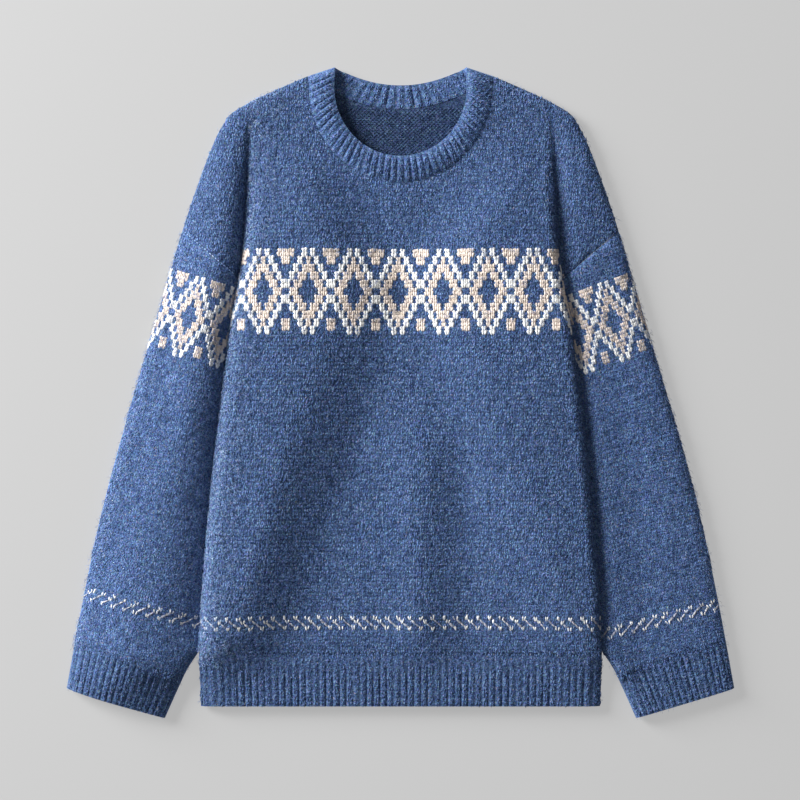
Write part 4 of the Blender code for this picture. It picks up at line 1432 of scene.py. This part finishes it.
# %% [markdown]
# ## Stitches on the ribs
# On a rib each ridge is one wale, a single column of Vs. The furrows between are purl wales, which
# stay hidden, so they need no stitches.

# %% Ridge stitches
RIDGE_STITCH, RIB_COURSE = 3.9 * MM, 3.6 * MM


def facing(vectors, axis):
    """Vectors turned so that each points along +X (axis 0), +Y (1) or +Z (2)."""
    return np.where(vectors[..., axis : axis + 1] < 0, -vectors, vectors)


def ridge_stitches(grid, first):
    """Stitches along every ridge of a ribbed grid of points, clear of its two ends."""
    columns = np.arange(first, grid.shape[1] - 1, RIB_STEPS)
    length = np.linalg.norm(grid[-1, columns[0]] - grid[0, columns[0]])
    count = int(length / RIB_COURSE - 0.9)
    at = (np.arange(count) + 0.95) * RIB_COURSE / length * (len(grid) - 1)
    low = np.floor(at).astype(int)
    below, above = grid[low][:, columns], grid[low + 1][:, columns]
    centre = mix(below, above, (at - low)[:, None, None])
    across = facing(unit(grid[low][:, columns + 1] - grid[low][:, columns - 1]), 0)
    normal = facing(unit(np.cross(across, facing(above - below, 1))), 2)
    ways = (way.reshape(-1, 3) for way in (centre, across, normal))
    return Stitches(*ways, RIDGE_STITCH, RIB_COURSE)


cuff_tops = [cuff_grids(sign)[0][:, : CUFF_RIBS * RIB_STEPS + 1] for _, sign in SIDES]
ribbed = [ridge_stitches(grid, RIB_STEPS // 2) for grid in (front_hem[0], *cuff_tops)]
banded = [ridge_stitches(grid, RIB_STEPS) for grid in (front_band[0], back_band[1])]
for name, groups, material, seed in (
    ("rib_stitches", ribbed, RIB_SHADE_YARN, 17),
    ("neckband_stitches", banded, BAND_SHADE_YARN, 19),
):
    add_stitches(name, joined(groups), material, "rib", PLAIN, seed, thick=0.6 * MM, spread=0.30)
ribbed = joined(ribbed + banded)
print(f"ribs: {len(ribbed)} stitches")

# %% [markdown]
# ## The inside of the back
# Through the neck the inside of the back shows, the purl side, where each stitch is a small arch that
# lies across. A plain patch of those arches covers what shows and a little more.

# %% Purl arches inside the neck
PURL_ROW, PURL_FROM_UP = 3.8 * MM, 0.522
PURL_COLUMNS = 21  # on each side of the middle
purl_ups = np.arange(PURL_FROM_UP, BACK_NECK_UP + 1 * MM, PURL_ROW / 2)
purl_x, purl_up = np.meshgrid(np.arange(-PURL_COLUMNS, PURL_COLUMNS + 1) * BODY_STITCH, purl_ups)
half_step = (np.arange(len(purl_ups)) % 2)[:, None] * 0.5 * BODY_STITCH
purl = placed(purl_x + half_step, purl_up, BACK_SHELL + 0 * purl_x)
neck_line = mix(BACK_NECK_UP, NECK_SEAM_POINT[1], (purl_x / NECK_SEAM_POINT[0]) ** 2)
purl = purl[purl_up < neck_line - 2 * MM]
purl_knit = Stitches(purl, (1.0, 0, 0), (0, 0, 1.0), BODY_STITCH, PURL_ROW)
lean = np.random.default_rng(18).normal(0, 0.6 * MM, purl.shape) * (1, 1, 0.3)
reach = 0.56 * BODY_STITCH * purl_knit.across + lean
tops, bow = 0.5 * MM * purl_knit.normal, np.broadcast_to((0, 0.7 * MM, 0.2 * MM), purl.shape)
arches = spindles(purl - reach, purl + reach, tops, 0.62 * MM, PLAIN, bow)
# the arches are in the darkened inside yarn, painted shade inside the neck
add_piece("purl_inside", *arches, INSIDE_SHADE_YARN, "knit")
print(f"purl side: {len(purl)} arches")

# %% [markdown]
# ## Brushed fibres
# Brushing pulls fibre ends out of the yarn. They lie in all directions, mostly down the garment, and
# make the outline and every fold soft. Each fibre is a thin closed prism with a bend, and they start
# from stitches chosen at random.

# %% Fibres
OFF_FLOOR = 0.5 * MM  # no fibre ends nearer to the surface it lies on


def add_fibres(name, stitches, count, material, slot_name, seed, length=(4, 9), radius=0.13):
    """Fibres that start at random on these stitches. Their length and radius are in mm."""
    rng = np.random.default_rng(seed)
    chosen = stitches.pick(rng.integers(0, len(stitches), count))
    across, upward, normal = chosen.across, chosen.upward(), chosen.normal
    angle = rng.normal(-math.pi / 2, 1.1, count)[:, None]
    way = across * np.cos(angle) + upward * np.sin(angle)
    aside = across * -np.sin(angle) + upward * np.cos(angle)
    reach = rng.uniform(*length, (count, 1)) * MM
    rise = rng.uniform(0.0, 1.1, (count, 1)) * MM
    spot = rng.uniform(-0.5, 0.5, (2, count, 1)) * 4 * MM
    starts = chosen.centre + across * spot[0] + upward * spot[1] + 0.3 * MM * normal
    ends = starts + way * reach + normal * rise
    bow = aside * rng.normal(0, 0.16, (count, 1)) * reach + normal * 0.5 * MM
    tops = np.cross(unit(ends - starts), unit(aside)) * radius * MM
    above_hem = ends[:, 1] > HEM_LINE + 0.5 * MM  # none hangs over the hem
    beside_hem = np.abs(ends[:, 0]) > body_edge(0.0) + 6 * MM
    kept = (above_hem | beside_hem) & (ends[:, 2] > OFF_FLOOR)
    fibres = spindles(starts[kept], ends[kept], tops[kept], radius * MM, PLAIN, bow[kept], corners=3)
    add_piece(name, *fibres, material, slot_name)


# the pale highlight fibres along the left fold, the strip inside it and the left sleeve's outer edge are
# a painted highlight where the cloth faces the key light
from_fold = body_edge(body_up) + body_x  # of the left side
highlight_place = (from_fold > -NEAR) & (body_yarn == BLUE)
rim, strip = (body.pick(highlight_place & (from_fold < within)) for within in (10 * MM, 30 * MM))
left_sleeve, left_yarns = dressed["left"]
left_x, left_up = left_sleeve.plan()
left_outside = left_sleeve.pick((sleeve_outer(left_up) + left_x < 16 * MM) & (left_yarns == BLUE))
sleeve_knit = joined([stitches for stitches, _ in dressed.values()])
everywhere = joined([body.pick(low), blue_top, sleeve_knit])
light = joined(in_colour([WHITE, PEACH], True))
for name, *facts in (
    ("body_fibres_low", body.pick(low), 15000, PALE_FIBRE, "knit", 21),
    ("body_fibres_high", blue_top, 11500, PALE_FIBRE, "knit", 22),
    ("sleeve_fibres", sleeve_knit, 14500, PALE_FIBRE, "knit", 23),
    ("dark_fibres", everywhere, 13000, DARK_FIBRE, "knit", 26),
    ("rib_fibres", ribbed, 4200, PALE_FIBRE, "rib", 24, (3, 6)),
    ("left_rim_fibres", rim, 3400, HIGHLIGHT_FIBRE, "knit", 28, (3, 6), 0.2),
    ("left_strip_fibres", strip, 4400, HIGHLIGHT_FIBRE, "knit", 29, (3, 7), 0.16),
    ("left_outside_fibres", left_outside, 1200, HIGHLIGHT_FIBRE, "knit", 30, (3, 6), 0.16),
    ("light_fibres", light, 1500, WHITE_YARN, "knit", 25, (2, 5), 0.07),
    ("inside_fibres", purl_knit, 1200, RIB_SHADE_YARN, "knit", 34, (3, 7)),
    ("inside_dark_fibres", purl_knit, 700, DARK_FIBRE, "knit", 35, (3, 7)),
):
    add_fibres(name, *facts)
    print(f"{name}: {facts[1]} fibres")

# %% [markdown]
# ## What the cloth is
# Each main piece is a flat cut of knitting. Its size before it was laid is printed for each group of
# pieces. Tubes and the ring of the neckband are given opened out.

for pieces, flat, area in (
    ((front, back), (0.447, 0.580), 0.205),
    (sleeves.values(), (0.300, 0.445), 0.115),
    (cuffs.values(), (0.220, 0.048), None),
    ((hem_front, hem_back), (0.405, 0.051), None),
    ((neckband,), (0.500, 0.028), None),
):
    print(f"cut {flat[0]:.3f} by {flat[1]:.3f} m: {', '.join(piece.name for piece in pieces)}")

# %% [markdown]
# ## Finish
